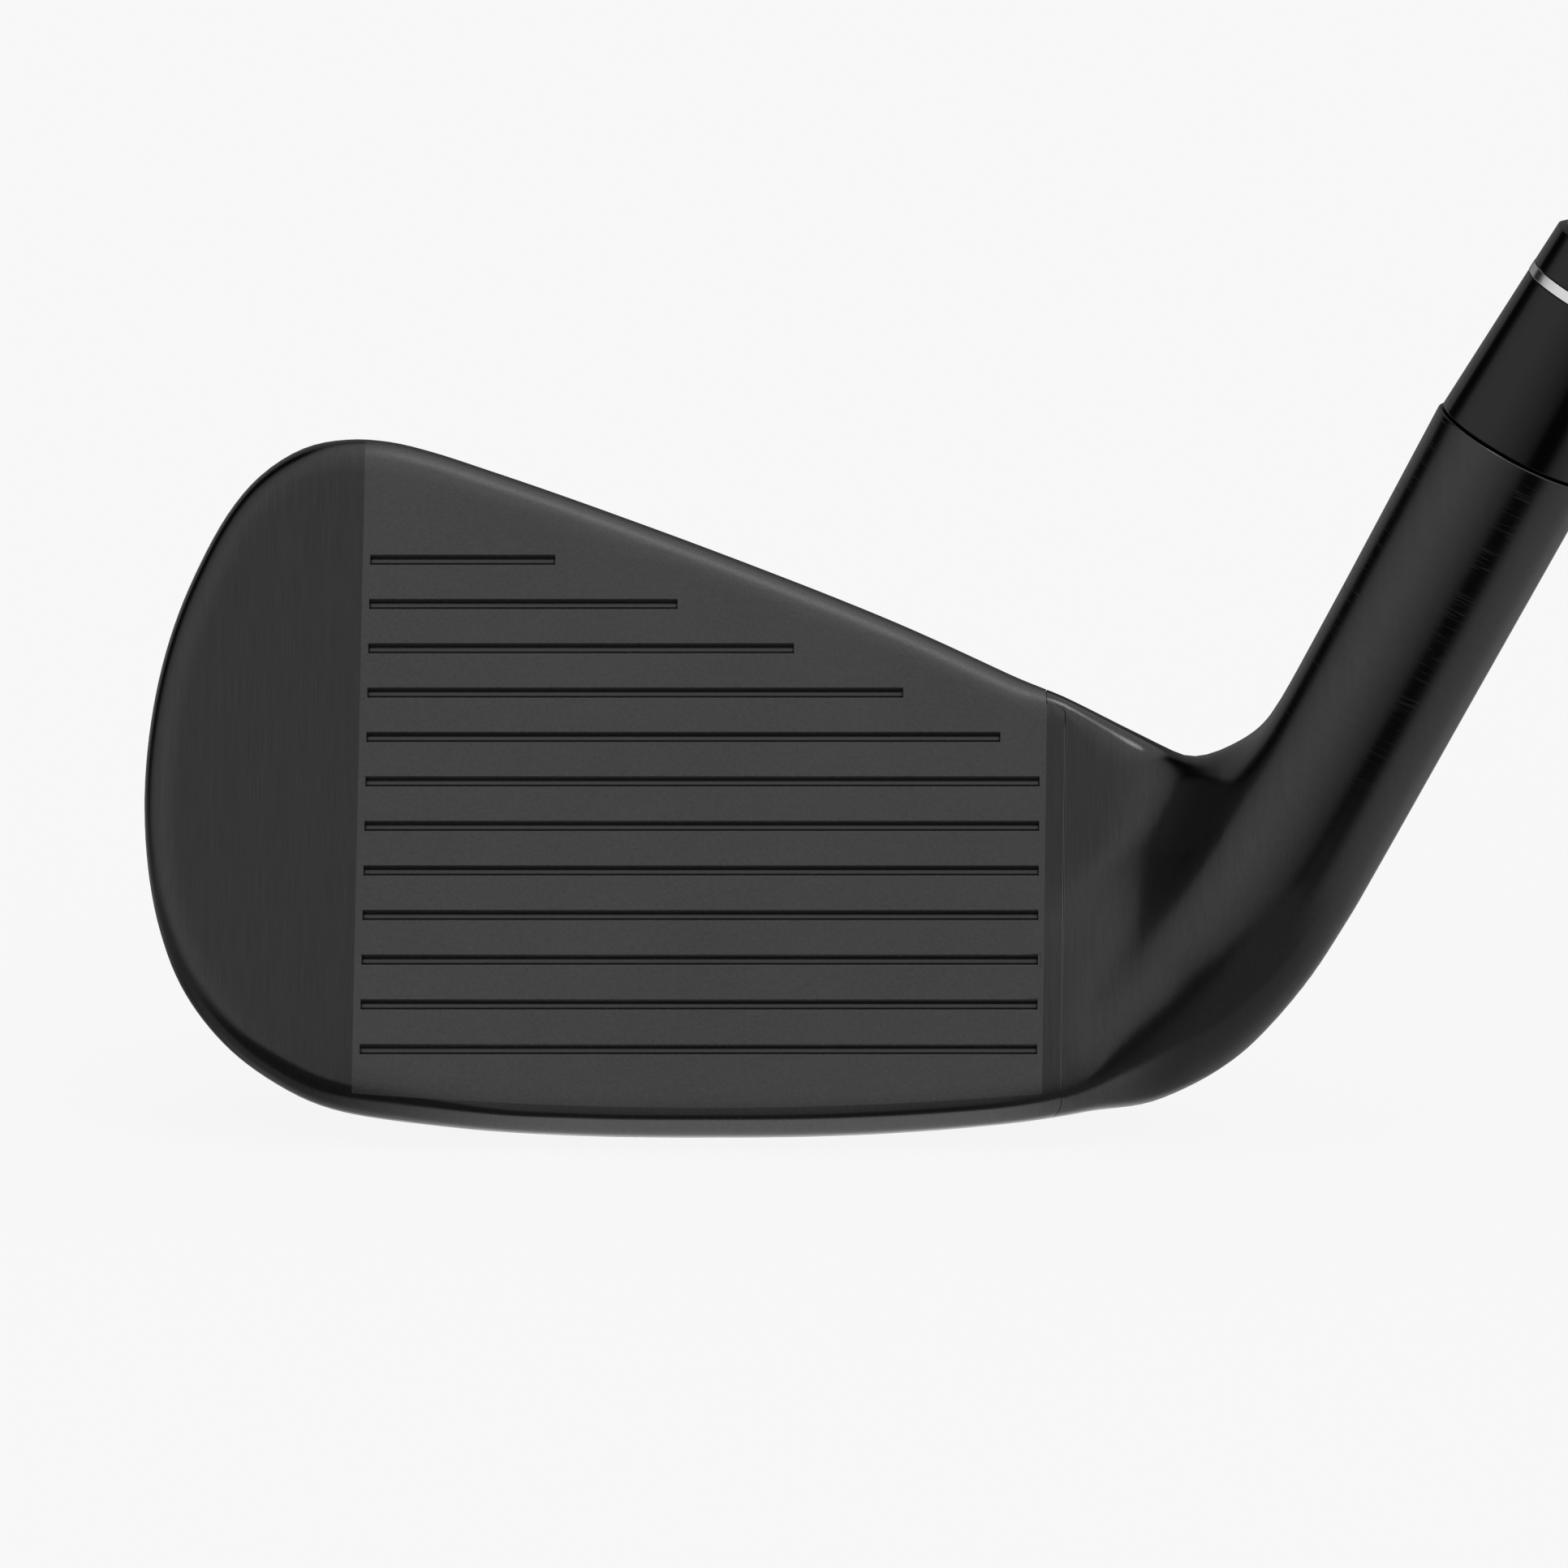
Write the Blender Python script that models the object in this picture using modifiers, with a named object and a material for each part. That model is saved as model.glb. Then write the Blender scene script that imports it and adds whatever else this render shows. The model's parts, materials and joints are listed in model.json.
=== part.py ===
"""Iron golf club, right-handed, built as an assembly of separate pieces.

Frame: metres, +Z up. The origin is the sole's contact point under the middle of the
striking face. -X runs to the toe, +X to the heel, and the striking face looks towards -Y.
The shaft leans towards +X at the lie angle. The lengths below are in millimetres and the
meshes are scaled to metres where they are made.
"""

from itertools import product
from math import cos, pi, prod, radians, sin

import bmesh
import bpy
import numpy as np
from mathutils import Matrix, Vector

# ------------------------------------------------------------------ driving dimensions
MM = 0.001
LOFT_DEG = 28.0              # striking face leaned back from vertical
LIE_DEG = 62.5               # shaft axis above the ground
CLUB_LENGTH = 939.8          # 37 in, from the ground along the shaft axis to the end cap
AXIS_X, AXIS_Y = 34.0, -5.0  # where the shaft axis meets the ground
FACE_FOOT_Y = -10.6          # where the striking plane meets the ground
HOSEL_TOP = 63.95            # end of the hosel, along the axis
HOSEL_R, HOSEL_TAPER = 6.84, 0.0108  # radius at the top, and its loss per mm further down
FACE_THICK = 2.2
FACE_SEAM_X = 28.0           # the face plate ends at this weld seam
WELD_GAP = 0.08              # between face plate and head body
CLEARANCE = 0.3              # round the parts inside the head
GAP = 0.05                   # between bonded round pieces
FLATS = 24                   # flats round a turned piece
PORT_FLATS = 16              # flats round the smaller pieces in the toe port

SIN_LOFT, COS_LOFT = sin(radians(LOFT_DEG)), cos(radians(LOFT_DEG))
SIN_LIE, COS_LIE = sin(radians(LIE_DEG)), cos(radians(LIE_DEG))

# Blade outline in the face plane, in mm: distance to the heel, distance up the face.
OUTLINE = [
    (-28.5, 3.3), (-20, 1.9), (-8, 1.1), (4, 1.0), (16, 1.5), (26, 2.6), (33, 4.3), (38.2, 6.8),
    (42, 9.8), (44.6, 14.1), (46.2, 19.5), (46.8, 25.0), (46.2, 30.8), (42.8, 32.3),
    (39.4, 33.3), (36, 34.4), (32.8, 35.6), (26.4, 38.5), (15.1, 43.8), (2.1, 49.1),
    (-10.9, 54.0), (-17.4, 56.3), (-22.2, 57.9), (-25.5, 58.7), (-28.7, 58.9), (-32.0, 58.3),
    (-35.2, 56.4), (-38.4, 52.8), (-41.6, 46.6), (-43.7, 39.9), (-44.8, 32.0), (-44.7, 25.4),
    (-43.6, 18.8), (-41.6, 13.5), (-38.0, 8.8), (-33.3, 5.4),
]
# Heel tube under the hosel, in mm: x, y, z and radius, from the sole up to the straight hosel.
HEEL_TUBE = [
    (26.0, -2.6, 6.0, 2.3), (30.5, -2.9, 7.3, 3.4), (34.9, -3.4, 9.3, 4.5),
    (38.9, -4.0, 12.45, 5.55), (42.2, -4.6, 16.75, 6.2), (45.1, -4.95, 21.6, 6.45),
]
HOSEL_STATIONS = (28.5, 35.0, 50.0, 70.0)  # distances along the shaft axis

# ------------------------------------------------------------------ scene and helpers
for old in list(bpy.data.objects):
    bpy.data.objects.remove(old, do_unlink=True)


def collection(name):
    made = bpy.data.collections.new(name)
    bpy.context.scene.collection.children.link(made)
    return made


PARTS = collection("iron_golf_club")
CUTTERS = collection("cutters")


def placed(name, mesh, finish=None, matrix=None):
    """An object for the mesh. One with no material is a hidden helper for a boolean."""
    thing = bpy.data.objects.new(name, mesh)
    if finish:
        PARTS.objects.link(thing)
        mesh.materials.append(finish)
    else:
        CUTTERS.objects.link(thing)
        thing.hide_render = True
        thing.display_type = "WIRE"
    if matrix is not None:
        thing.matrix_world = matrix
    return thing


def empty(name, matrix):
    thing = bpy.data.objects.new(name, None)
    PARTS.objects.link(thing)
    thing.matrix_world = matrix
    return thing


def cut(target, cutter, operation="DIFFERENCE"):
    boolean = target.modifiers.new(f"{operation.lower()}_{cutter.name}", "BOOLEAN")
    boolean.operation = operation
    boolean.solver = "EXACT"
    boolean.object = cutter


# Face frame: local X runs to the heel, local Y up the face, local Z is out of the face.
FACE = Matrix(
    (
        (1.0, 0.0, 0.0, 0.0),
        (0.0, SIN_LOFT, -COS_LOFT, FACE_FOOT_Y * MM),
        (0.0, COS_LOFT, SIN_LOFT, 0.0),
        (0.0, 0.0, 0.0, 1.0),
    )
)
# Everything turned about the shaft hangs on this empty: its Z is the shaft axis.
shaft_axis = empty(
    "shaft_axis",
    Matrix.Translation((AXIS_X * MM, AXIS_Y * MM, 0.0))
    @ Matrix.Rotation(radians(90 - LIE_DEG), 4, "Y"),
)


def turned(name, profile, finish=None, ring=False, parent=shaft_axis, flats=FLATS):
    """A Screw round local Z of (radius, height) points in mm.
    A solid profile starts and ends at radius 0; a ring's profile is closed."""
    mesh = bpy.data.meshes.new(name)
    points = [(radius * MM, 0.0, height * MM) for radius, height in profile]
    edges = [(i, i + 1) for i in range(len(points) - 1)]
    if ring:
        edges.append((len(points) - 1, 0))
    mesh.from_pydata(points, edges, [])
    thing = placed(name, mesh, finish)
    screw = thing.modifiers.new("screw", "SCREW")
    screw.axis = "Z"
    screw.angle = 2 * pi
    screw.steps = screw.render_steps = flats
    screw.screw_offset = 0.0
    screw.use_merge_vertices = True
    screw.merge_threshold = 0.00001
    screw.use_smooth_shade = True
    thing.parent = parent
    return thing


def outline_solid(name, points, low, high, finish=None, frame=FACE):
    """A filled 2D curve extruded from low to high (mm) along the frame's Z, made a mesh."""
    curve = bpy.data.curves.new(name, "CURVE")
    curve.dimensions = "2D"
    curve.fill_mode = "BOTH"
    curve.extrude = (high - low) * 0.5 * MM
    spline = curve.splines.new("POLY")
    spline.points.add(len(points) - 1)
    for point, (x, y) in zip(spline.points, points):
        point.co = (x * MM, y * MM, 0.0, 1.0)
    spline.use_cyclic_u = True
    guide = bpy.data.objects.new(name + "_curve", curve)
    bpy.context.scene.collection.objects.link(guide)
    bpy.context.view_layer.update()
    depsgraph = bpy.context.evaluated_depsgraph_get()
    mesh = bpy.data.meshes.new_from_object(guide.evaluated_get(depsgraph))
    bpy.data.objects.remove(guide, do_unlink=True)
    mesh.name = name
    # the curve's caps and walls come out separate, so weld them
    bm = bmesh.new()
    bm.from_mesh(mesh)
    bmesh.ops.remove_doubles(bm, verts=bm.verts, dist=1e-6)
    bmesh.ops.recalc_face_normals(bm, faces=bm.faces)
    bm.to_mesh(mesh)
    bm.free()
    middle = Matrix.Translation((0, 0, (low + high) * 0.5 * MM))
    return placed(name, mesh, finish, frame @ middle)


def inset(points, distance):
    """Polygon moved inwards by the distance."""
    corners = np.array(points, float)
    following = np.roll(corners, -1, 0)
    area = 0.5 * np.sum(corners[:, 0] * following[:, 1] - following[:, 0] * corners[:, 1])
    side = 1.0 if area > 0 else -1.0
    edges = following - corners
    normals = side * np.stack([-edges[:, 1], edges[:, 0]], 1)
    normals /= np.linalg.norm(edges, axis=1, keepdims=True)
    moved = []
    for i, corner in enumerate(corners):
        before, after = normals[i - 1], normals[i]
        moved.append(tuple(corner + (before + after) * distance / (1 + before @ after)))
    return moved


# ------------------------------------------------------------------ field helpers
def ease(x, start, end):
    """Smooth step from 0 at start to 1 at end; start may be the larger."""
    t = np.clip((x - start) / (end - start), 0, 1)
    return t * t * (3 - 2 * t)


def smooth_min(first, second, blend):
    overlap = np.maximum(blend - np.abs(first - second), 0) / blend
    return np.minimum(first, second) - overlap**3 * blend / 6


def round_and(first, second, radius):
    """Intersection of two solids with a rounded edge."""
    corner = np.sqrt(np.maximum(first + radius, 0) ** 2 + np.maximum(second + radius, 0) ** 2)
    return np.minimum(-radius, np.maximum(first, second)) + corner


def cubic_weights(t):
    """Catmull-Rom weights of four neighbours, at t between the middle two."""
    return (
        ((-0.5 * t + 1) * t - 0.5) * t,
        (1.5 * t - 2.5) * t * t + 1,
        ((-1.5 * t + 2) * t + 0.5) * t,
        (0.5 * t - 0.5) * t * t,
    )


def sample(table, start, cell, points):
    """Catmull-Rom interpolation in a regular grid, at points clamped to its inside."""
    spot = np.clip((points - start) / cell, 1.001, np.array(table.shape) - 3.001)
    index = spot.astype(int)
    weights = cubic_weights(spot - index)
    total = np.zeros(points.shape[:-1])
    for offsets in product(range(4), repeat=table.ndim):
        node = tuple(index[..., axis] + k - 1 for axis, k in enumerate(offsets))
        total += prod(weights[k][..., axis] for axis, k in enumerate(offsets)) * table[node]
    return total


# ------------------------------------------------------------------ blade outline
def spline_loop(points, per_span):
    """Centripetal Catmull-Rom loop through the points."""
    points = np.array(points, float)
    count = len(points)
    loop = []
    for i in range(count):
        near = [points[(i + k) % count] for k in (-1, 0, 1, 2)]
        knot = [0.0]
        for start, end in zip(near, near[1:]):
            knot.append(knot[-1] + np.linalg.norm(end - start) ** 0.5)

        def mix(low, high, j, span, at):
            width = knot[j + span] - knot[j]
            return ((knot[j + span] - at) * low + (at - knot[j]) * high) / width

        for k in range(per_span):
            at = knot[1] + (knot[2] - knot[1]) * k / per_span
            lines = [mix(near[j], near[j + 1], j, 1, at) for j in range(3)]
            curves = [mix(lines[j], lines[j + 1], j, 2, at) for j in range(2)]
            loop.append(mix(curves[0], curves[1], 1, 1, at))
    return np.array(loop)


LOOP = spline_loop(OUTLINE, per_span=10)
OUTLINE_CELL = 0.5
OUTLINE_FROM, OUTLINE_TO = np.array([-52.0, -12.0]), (60, 68)


def outline_table():
    """Signed distance to the outline on a grid, negative inside."""
    axes = [np.arange(low, high, OUTLINE_CELL) for low, high in zip(OUTLINE_FROM, OUTLINE_TO)]
    grid = np.stack(np.meshgrid(*axes, indexing="ij"), -1)
    points = grid.reshape(-1, 2)
    squared, inside = np.full(len(points), 1e9), np.zeros(len(points), bool)
    for start, end in zip(LOOP, np.roll(LOOP, -1, 0)):
        edge, offset = end - start, points - start
        t = np.clip((offset @ edge) / (edge @ edge), 0, 1)
        squared = np.minimum(squared, ((offset - t[:, None] * edge) ** 2).sum(1))
        crosses = (start[1] > points[:, 1]) != (end[1] > points[:, 1])
        crossing = start[0] + offset[:, 1] * edge[0] / (edge[1] + 1e-30)
        inside ^= crosses & (points[:, 0] < crossing)
    distance = np.sqrt(squared)
    distance[inside] *= -1
    return distance.reshape(grid.shape[:2])


OUTLINE_DISTANCE = outline_table()

# ------------------------------------------------------------------ head surface
# The head is a field over points in mm, negative inside. The eases below hold the places
# where a change starts and ends: x to the heel, `up` the face, and y or z in the frame.
CURL = 8.6                   # how far the heel end comes forward to meet the hosel


def back_depth(x, up):
    """Thickness of the blade: thin above, a step down to the muscle, deeper towards the sole."""
    top = 6.0 + 0.5 * ease(x, 0, -35)
    step = 6.2 / (1 + np.exp((up - 23.0) / 1.9))
    foot = 1.7 * np.log1p(np.exp((19.0 - up) / 2))
    return top + step + foot


def sole_height(x, y):
    """Height of the underside: curved both ways, with a shallow bulge down in the middle."""
    toe_heel = np.maximum(np.abs(x) - 3, 0) ** 2 / 430
    bulge = 0.3 * (1 - ease(np.abs(x), 10, 24)) * (1 - ease(np.abs(y - 0.5), 4, 9))
    front, back = (y + 2) ** 2 / 44, (y - 3) ** 2 / 52
    return toe_heel - bulge + np.where(y < -2, front, np.where(y > 3, back, 0))


def blade(points):
    x, y, z = points[..., 0], points[..., 1], points[..., 2]
    up = (y - FACE_FOOT_Y) * SIN_LOFT + z * COS_LOFT
    flat_behind = (y - FACE_FOOT_Y) * COS_LOFT - z * SIN_LOFT
    # the face curls forward into the hosel, over a shorter stretch high up than low down
    top = ease(up, 17, 30)
    behind = flat_behind + CURL * ease(up, 1, 26) * ease(x, 25 + 10 * top, 47 - 3.5 * top)

    # rim: the outline, raised low down behind the face and let out a little along the
    # topline, then joined to the sole
    rim_behind = flat_behind + CURL * ease(up, 6, 34) * ease(x, 32.5, 49.5)
    raised = 0.38 * np.maximum(rim_behind - 1.5, 0) * ease(up, 33, 14)
    in_plane = np.stack([x, up - raised], -1)
    edge = sample(OUTLINE_DISTANCE, OUTLINE_FROM, OUTLINE_CELL, in_plane)
    edge = edge - 0.2 * ease(up, 31, 37) * (1 - ease(x, 32, 40)) * ease(x, -41, -36)
    rim = -smooth_min(-edge, z - sole_height(x, y), blend=2.0)

    low, heel = ease(up, 24, 6), ease(x, 22, 46)
    join = ease(x, 27, 43) * (1 - low)           # edges round off towards the hosel
    depth = back_depth(x, up) + 3.0 * join
    depth = depth - heel * np.clip(depth - 8.5, 0, 99) * 0.6

    front_radius = (
        2.5
        + 0.35 * low
        + 1.1 * low * ease(x, -14, -28)          # larger low in the toe
        - 1.0 * ease(x, 24, 29) * (1 - low)
        + 1.4 * join
        + 3.4 * heel * low
    )
    back_radius = 1.6 + 1.2 * low + heel * (4.5 + 6.0 * low) + 2.6 * join
    front = round_and(-behind, rim, front_radius)
    return round_and(front, (behind - depth) * 0.92, back_radius)


def tube_path():
    """Hermite curve up the heel tube, then the straight hosel: rows of x, y, z, radius."""
    stations = [np.array(row, float) for row in HEEL_TUBE]
    for along in HOSEL_STATIONS:
        radius = HOSEL_R - HOSEL_TAPER * (HOSEL_TOP - along)
        x, z = AXIS_X + along * COS_LIE, along * SIN_LIE
        stations.append(np.array([x, AXIS_Y, z, radius]))
    curved = len(HEEL_TUBE) + 1                  # spans up to the second hosel station
    path = []
    for i in range(curved):
        start, end = stations[i], stations[i + 1]
        before = stations[i - 1] if i else 2 * start - end
        start_slope = (end - before) / 2
        end_slope = end - start if i == curved - 1 else (stations[i + 2] - start) / 2
        for t in np.arange(6) / 6:
            path.append(
                (2 * t**3 - 3 * t**2 + 1) * start
                + (t**3 - 2 * t**2 + t) * start_slope
                + (3 * t**2 - 2 * t**3) * end
                + (t**3 - t**2) * end_slope
            )
    return np.array(path + stations[curved:])


TUBE = tube_path()


def neck(points):
    """Heel tube and hosel, as a chain of tapered rods."""
    best = np.full(points.shape[:-1], 1e9)
    for start, end in zip(TUBE[:-1], TUBE[1:]):
        rod, offset = end[:3] - start[:3], points - start[:3]
        t = np.clip((offset @ rod) / (rod @ rod), 0, 1)
        away = np.sqrt(((offset - t[..., None] * rod) ** 2).sum(-1))
        best = np.minimum(best, away - (start[3] + (end[3] - start[3]) * t))
    return best


def sharp_field(points):
    """Blade and neck joined by a blend that is tighter high in front and wider at the back."""
    x, y, z = points[..., 0], points[..., 1], points[..., 2]
    blend = 7.5 - 3.0 * ease(z, 25, 34) * (1 - ease(y, -4, 1)) + 3.5 * ease(y, -3, 3)
    # the striking face stays flat up to its seam
    blend = blend * (0.08 + 0.92 * ease(x, 26.5, 36))
    return smooth_min(blade(points), neck(points), blend)


# Where blade and hosel meet, the surface is taken from a blurred copy of the field, so that
# the crotch is one soft saddle.
BLUR_CELL, BLUR_MM = 0.8, 1.8
BLUR_FROM, BLUR_SIZE = np.array([18.0, -20.0, 4.0]), (66, 46, 72)
SADDLE_CENTRE = np.array([44.5, 1.0, 31.0])
SADDLE_STRETCH = np.array([1.25, 1.1, 1.15])
SADDLE_FULL, SADDLE_NONE = 6.0, 15.0  # stretched radii where the blurred copy rules and ends
SADDLE_FILL = 0.3                     # the blurred surface is let out by this


def blurred_table():
    """The sharp field on a grid, with a Gaussian blur along each axis."""
    axes = [BLUR_FROM[i] + BLUR_CELL * np.arange(BLUR_SIZE[i]) for i in range(3)]
    grid = np.stack(np.meshgrid(*axes, indexing="ij"), -1)
    field = sharp_field(grid.reshape(-1, 3)).reshape(BLUR_SIZE)
    reach = int(np.ceil(3 * BLUR_MM / BLUR_CELL))
    kernel = np.exp(-0.5 * (np.arange(-reach, reach + 1) * BLUR_CELL / BLUR_MM) ** 2)
    kernel /= kernel.sum()
    for axis, size in enumerate(BLUR_SIZE):
        margins = [(reach, reach) if i == axis else (0, 0) for i in range(3)]
        padded = np.pad(field, margins, mode="edge")
        field = sum(
            weight * np.take(padded, np.arange(shift, shift + size), axis=axis)
            for shift, weight in enumerate(kernel)
        )
    return field


BLURRED = blurred_table()


def head_field(points):
    """Negative inside the head, zero on its surface."""
    flat = points.reshape(-1, 3)
    field = sharp_field(flat)
    away = np.sqrt((((flat - SADDLE_CENTRE) / SADDLE_STRETCH) ** 2).sum(-1))
    share = 1 - ease(away, SADDLE_FULL, SADDLE_NONE)
    near = share > 0
    if near.any():
        soft = sample(BLURRED, BLUR_FROM, BLUR_CELL, flat[near]) - SADDLE_FILL
        field[near] += (soft - field[near]) * share[near]
    return field.reshape(points.shape[:-1])


# ------------------------------------------------------------------ head mesh
RING_POINTS = 32
TOE_RINGS, BLADE_RINGS, FAN_RINGS, HOSEL_RINGS = 7, 18, 14, 3
TOE_START, TOE_SPAN = 0.012, 9.0     # first section's offset from the tip, length of the toe run
PIVOT = np.array([40.5, 36.5])       # x, z of the point the fan turns about
# Section centres across the blade. Up the face: x after the toe tip, distance up.
CENTRE_UP = ((-38, -30, 0, 30, 41), (29.5, 30, 30, 25, 19, 17.5))
# Behind the face: x after the toe tip, distance behind.
CENTRE_BEHIND = ((-30, 0, 30, 40.5), (3.4, 3.6, 3.8, 3.4, 3.2))
PROBES = 240                         # rays round a section when its turns are measured
TURN_WEIGHT = 2.2                    # pull of sharp turns on the points, against length


def spine():
    """Section centres and up directions: vertical across the blade, fanning round the crotch,
    then square to the hosel."""
    tip = LOOP[:, 0].min()
    stations = [
        tip + TOE_START + TOE_SPAN * (i / TOE_RINGS) ** 2 for i in range(1, TOE_RINGS + 1)
    ]
    stations += list(np.linspace(stations[-1], PIVOT[0], BLADE_RINGS + 1)[1:])
    centres, ups = [], []
    for x in stations:
        up = np.interp(x, [tip, *CENTRE_UP[0]], CENTRE_UP[1])
        behind = np.interp(x, [tip, *CENTRE_BEHIND[0]], CENTRE_BEHIND[1])
        y = FACE_FOOT_Y + up * SIN_LOFT + behind * COS_LOFT
        centres.append((x, y, up * COS_LOFT - behind * SIN_LOFT))
        ups.append((0.0, 0.0, 1.0))
    _, last_y, last_z = centres[-1]

    from_axis = PIVOT - np.array([AXIS_X, 0.0])
    first_radius = PIVOT[1] - last_z
    last_radius = abs(from_axis[0] * SIN_LIE - from_axis[1] * COS_LIE)
    for k in range(1, FAN_RINGS + 1):
        t = k / FAN_RINGS
        angle = radians(-90 + LIE_DEG * t)
        radius = first_radius + (last_radius - first_radius) * t * t * (3 - 2 * t)
        x, z = PIVOT + radius * np.array([cos(angle), sin(angle)])
        centres.append((x, last_y + (AXIS_Y - last_y) * (1 - (1 - t) ** 1.6), z))
        ups.append((-cos(angle), 0.0, -sin(angle)))

    foot = from_axis @ np.array([COS_LIE, SIN_LIE])
    for k in range(1, HOSEL_RINGS + 1):
        along = foot + (HOSEL_TOP - foot) * k / HOSEL_RINGS
        centres.append((AXIS_X + along * COS_LIE, AXIS_Y, along * SIN_LIE))
        ups.append((-SIN_LIE, 0.0, COS_LIE))
    return np.array(centres, float), np.array(ups, float)


def cast(centres, ups, angles):
    """Points where rays from each section's centre leave the head."""
    ray = np.cos(angles)[..., None] * np.array([0, 1.0, 0])
    ray = ray + np.sin(angles)[..., None] * ups[:, None, :]

    def at(distance):
        return centres[:, None, :] + ray * distance[..., None]

    # march outwards until every ray is out, then halve the last step
    low, high = np.zeros(angles.shape), np.zeros(angles.shape)
    outside = np.zeros(angles.shape, bool)
    for _ in range(60):
        field = head_field(at(high))
        outside |= field >= -1e-4
        low = np.where(outside, low, high)
        high = high + np.where(outside, 0, np.maximum(-field * 0.8, 2e-3))
        if outside.all():
            break
    for _ in range(24):
        middle = (low + high) / 2
        inside = head_field(at(middle)) < 0
        low, high = np.where(inside, middle, low), np.where(inside, high, middle)
    return at((low + high) / 2)


def even_out(rows):
    """Average each row with its neighbours, in place, three times."""
    for _ in range(3):
        rows[1:-1] = (rows[:-2] + 2 * rows[1:-1] + rows[2:]) / 4


def head_rings():
    """Rings of points round the head, closer together where a section turns sharply."""
    centres, ups = spine()
    count = len(centres)
    probe_angles = np.linspace(0, 2 * pi, PROBES, endpoint=False)
    probe = cast(centres, ups, np.tile(probe_angles, (count, 1)))
    step = np.roll(probe, -1, 1) - probe
    size = np.linalg.norm(step, axis=2)
    unit = step / np.maximum(size[..., None], 1e-9)
    turn = np.arccos(np.clip((unit * np.roll(unit, 1, 1)).sum(2), -1, 1))
    turn = (turn + np.roll(turn, -1, 1)) / 2
    weight = size / size.sum(1, keepdims=True)
    weight = weight + TURN_WEIGHT * turn / turn.sum(1, keepdims=True)
    for _ in range(3):
        weight = (weight + np.roll(weight, 1, 1) + np.roll(weight, -1, 1)) / 3
    even_out(weight)
    total = np.concatenate([np.zeros((count, 1)), np.cumsum(weight, 1)], 1)
    total /= total[:, -1:]
    shares, turns = np.arange(RING_POINTS) / RING_POINTS, np.linspace(0, 2 * pi, PROBES + 1)
    angles = np.array([np.interp(shares, row, turns) for row in total])
    even_out(angles)
    return cast(centres, ups, angles)


def head_mesh(name):
    """The head's outer skin: a loft from the toe through the blade and round into the hosel.
    The sections change from a blade to a circle and the spine bends, so it is lofted by hand."""
    bm = bmesh.new()
    rows = [[bm.verts.new(Vector(point) * MM) for point in ring] for ring in head_rings().tolist()]
    for row, following in zip(rows, rows[1:]):
        for j in range(RING_POINTS):
            k = (j + 1) % RING_POINTS
            bm.faces.new((row[j], row[k], following[k], following[j]))
    bm.faces.new(rows[0][::-1])
    bm.faces.new(rows[-1])
    bmesh.ops.recalc_face_normals(bm, faces=bm.faces)
    mesh = bpy.data.meshes.new(name)
    bm.to_mesh(mesh)
    bm.free()
    mesh.shade_smooth()
    mesh.set_sharp_from_angle(angle=radians(35))
    return mesh


# ------------------------------------------------------------------ materials
def material(name, colour, roughness, metallic=0.0):
    made = bpy.data.materials.new(name)
    made.use_nodes = True
    inputs = made.node_tree.nodes["Principled BSDF"].inputs
    inputs["Base Color"].default_value = (*colour, 1.0)
    inputs["Roughness"].default_value = roughness
    inputs["Metallic"].default_value = metallic
    return made


def metal(name, colour, roughness):
    return material(name, colour, roughness, metallic=1.0)


black_steel = metal("black_cast_steel", colour=(0.045, 0.045, 0.048), roughness=0.34)
black_face = metal("black_blasted_steel", colour=(0.060, 0.060, 0.063), roughness=0.48)
tungsten = metal("tungsten", colour=(0.22, 0.22, 0.23), roughness=0.45)
foam = material("grey_foam", colour=(0.42, 0.42, 0.40), roughness=0.80)
screw_steel = metal("black_screw_steel", colour=(0.05, 0.05, 0.055), roughness=0.30)
seal_rubber = material("seal_rubber", colour=(0.02, 0.02, 0.02), roughness=0.70)
badge_metal = metal("badge_aluminium", colour=(0.16, 0.16, 0.17), roughness=0.35)
badge_glue = material("badge_adhesive_pad", colour=(0.10, 0.10, 0.10), roughness=0.75)
epoxy = material("cured_epoxy", colour=(0.50, 0.46, 0.34), roughness=0.35)
brass = metal("pin_brass", colour=(0.60, 0.45, 0.18), roughness=0.30)
GLOSS_BLACK = {"colour": (0.012, 0.012, 0.013), "roughness": 0.12}
lower_gloss = material("ferrule_gloss_black", **GLOSS_BLACK)
upper_gloss = material("upper_ferrule_gloss_black", **GLOSS_BLACK)
silver = metal("ring_silver", colour=(0.70, 0.70, 0.71), roughness=0.22)
shaft_steel = metal("shaft_black_steel", colour=(0.055, 0.055, 0.06), roughness=0.22)
tape_paper = material("grip_tape_paper", colour=(0.75, 0.72, 0.62), roughness=0.85)
grip_rubber = material("grip_rubber", colour=(0.018, 0.018, 0.018), roughness=0.78)
cap_rubber = material("grip_cap_rubber", colour=(0.018, 0.018, 0.018), roughness=0.65)

# ------------------------------------------------------------------ head body
# Outlines in the face plane: distance to the heel, distance up the face.
CAVITY_TOP = [
    (-39.6, 19.0), (-40.3, 30), (-39.0, 40), (-35.5, 49.5), (-31, 53.6), (-26, 54.2),
    (-12, 49.5), (4, 43.3), (18, 37.2), (24.5, 32.5), (24.5, 19.0),
]
CAVITY_LOW = [(-36.5, 11.5), (-39.2, 17.5), (-39.5, 20.0), (23.0, 20.0), (23.0, 11.5)]
CAVITY_TOP_DEPTH, CAVITY_LOW_DEPTH = 4.2, 9.0
BADGE = [
    (-36.0, 30.5), (-36.6, 38.0), (-34.0, 45.5), (-29.5, 50.2), (-24.5, 50.6), (-10.0, 45.6),
    (4.0, 39.9), (16.0, 34.5), (19.0, 30.5),
]
BADGE_FLOOR = -5.25                  # floor of the badge pocket, along the face's Z
FRONT_OF_FACE = 30                   # reach of the front blocks out of the face
BORE_R, BORE_BOTTOM = 4.98, 33.5
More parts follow.
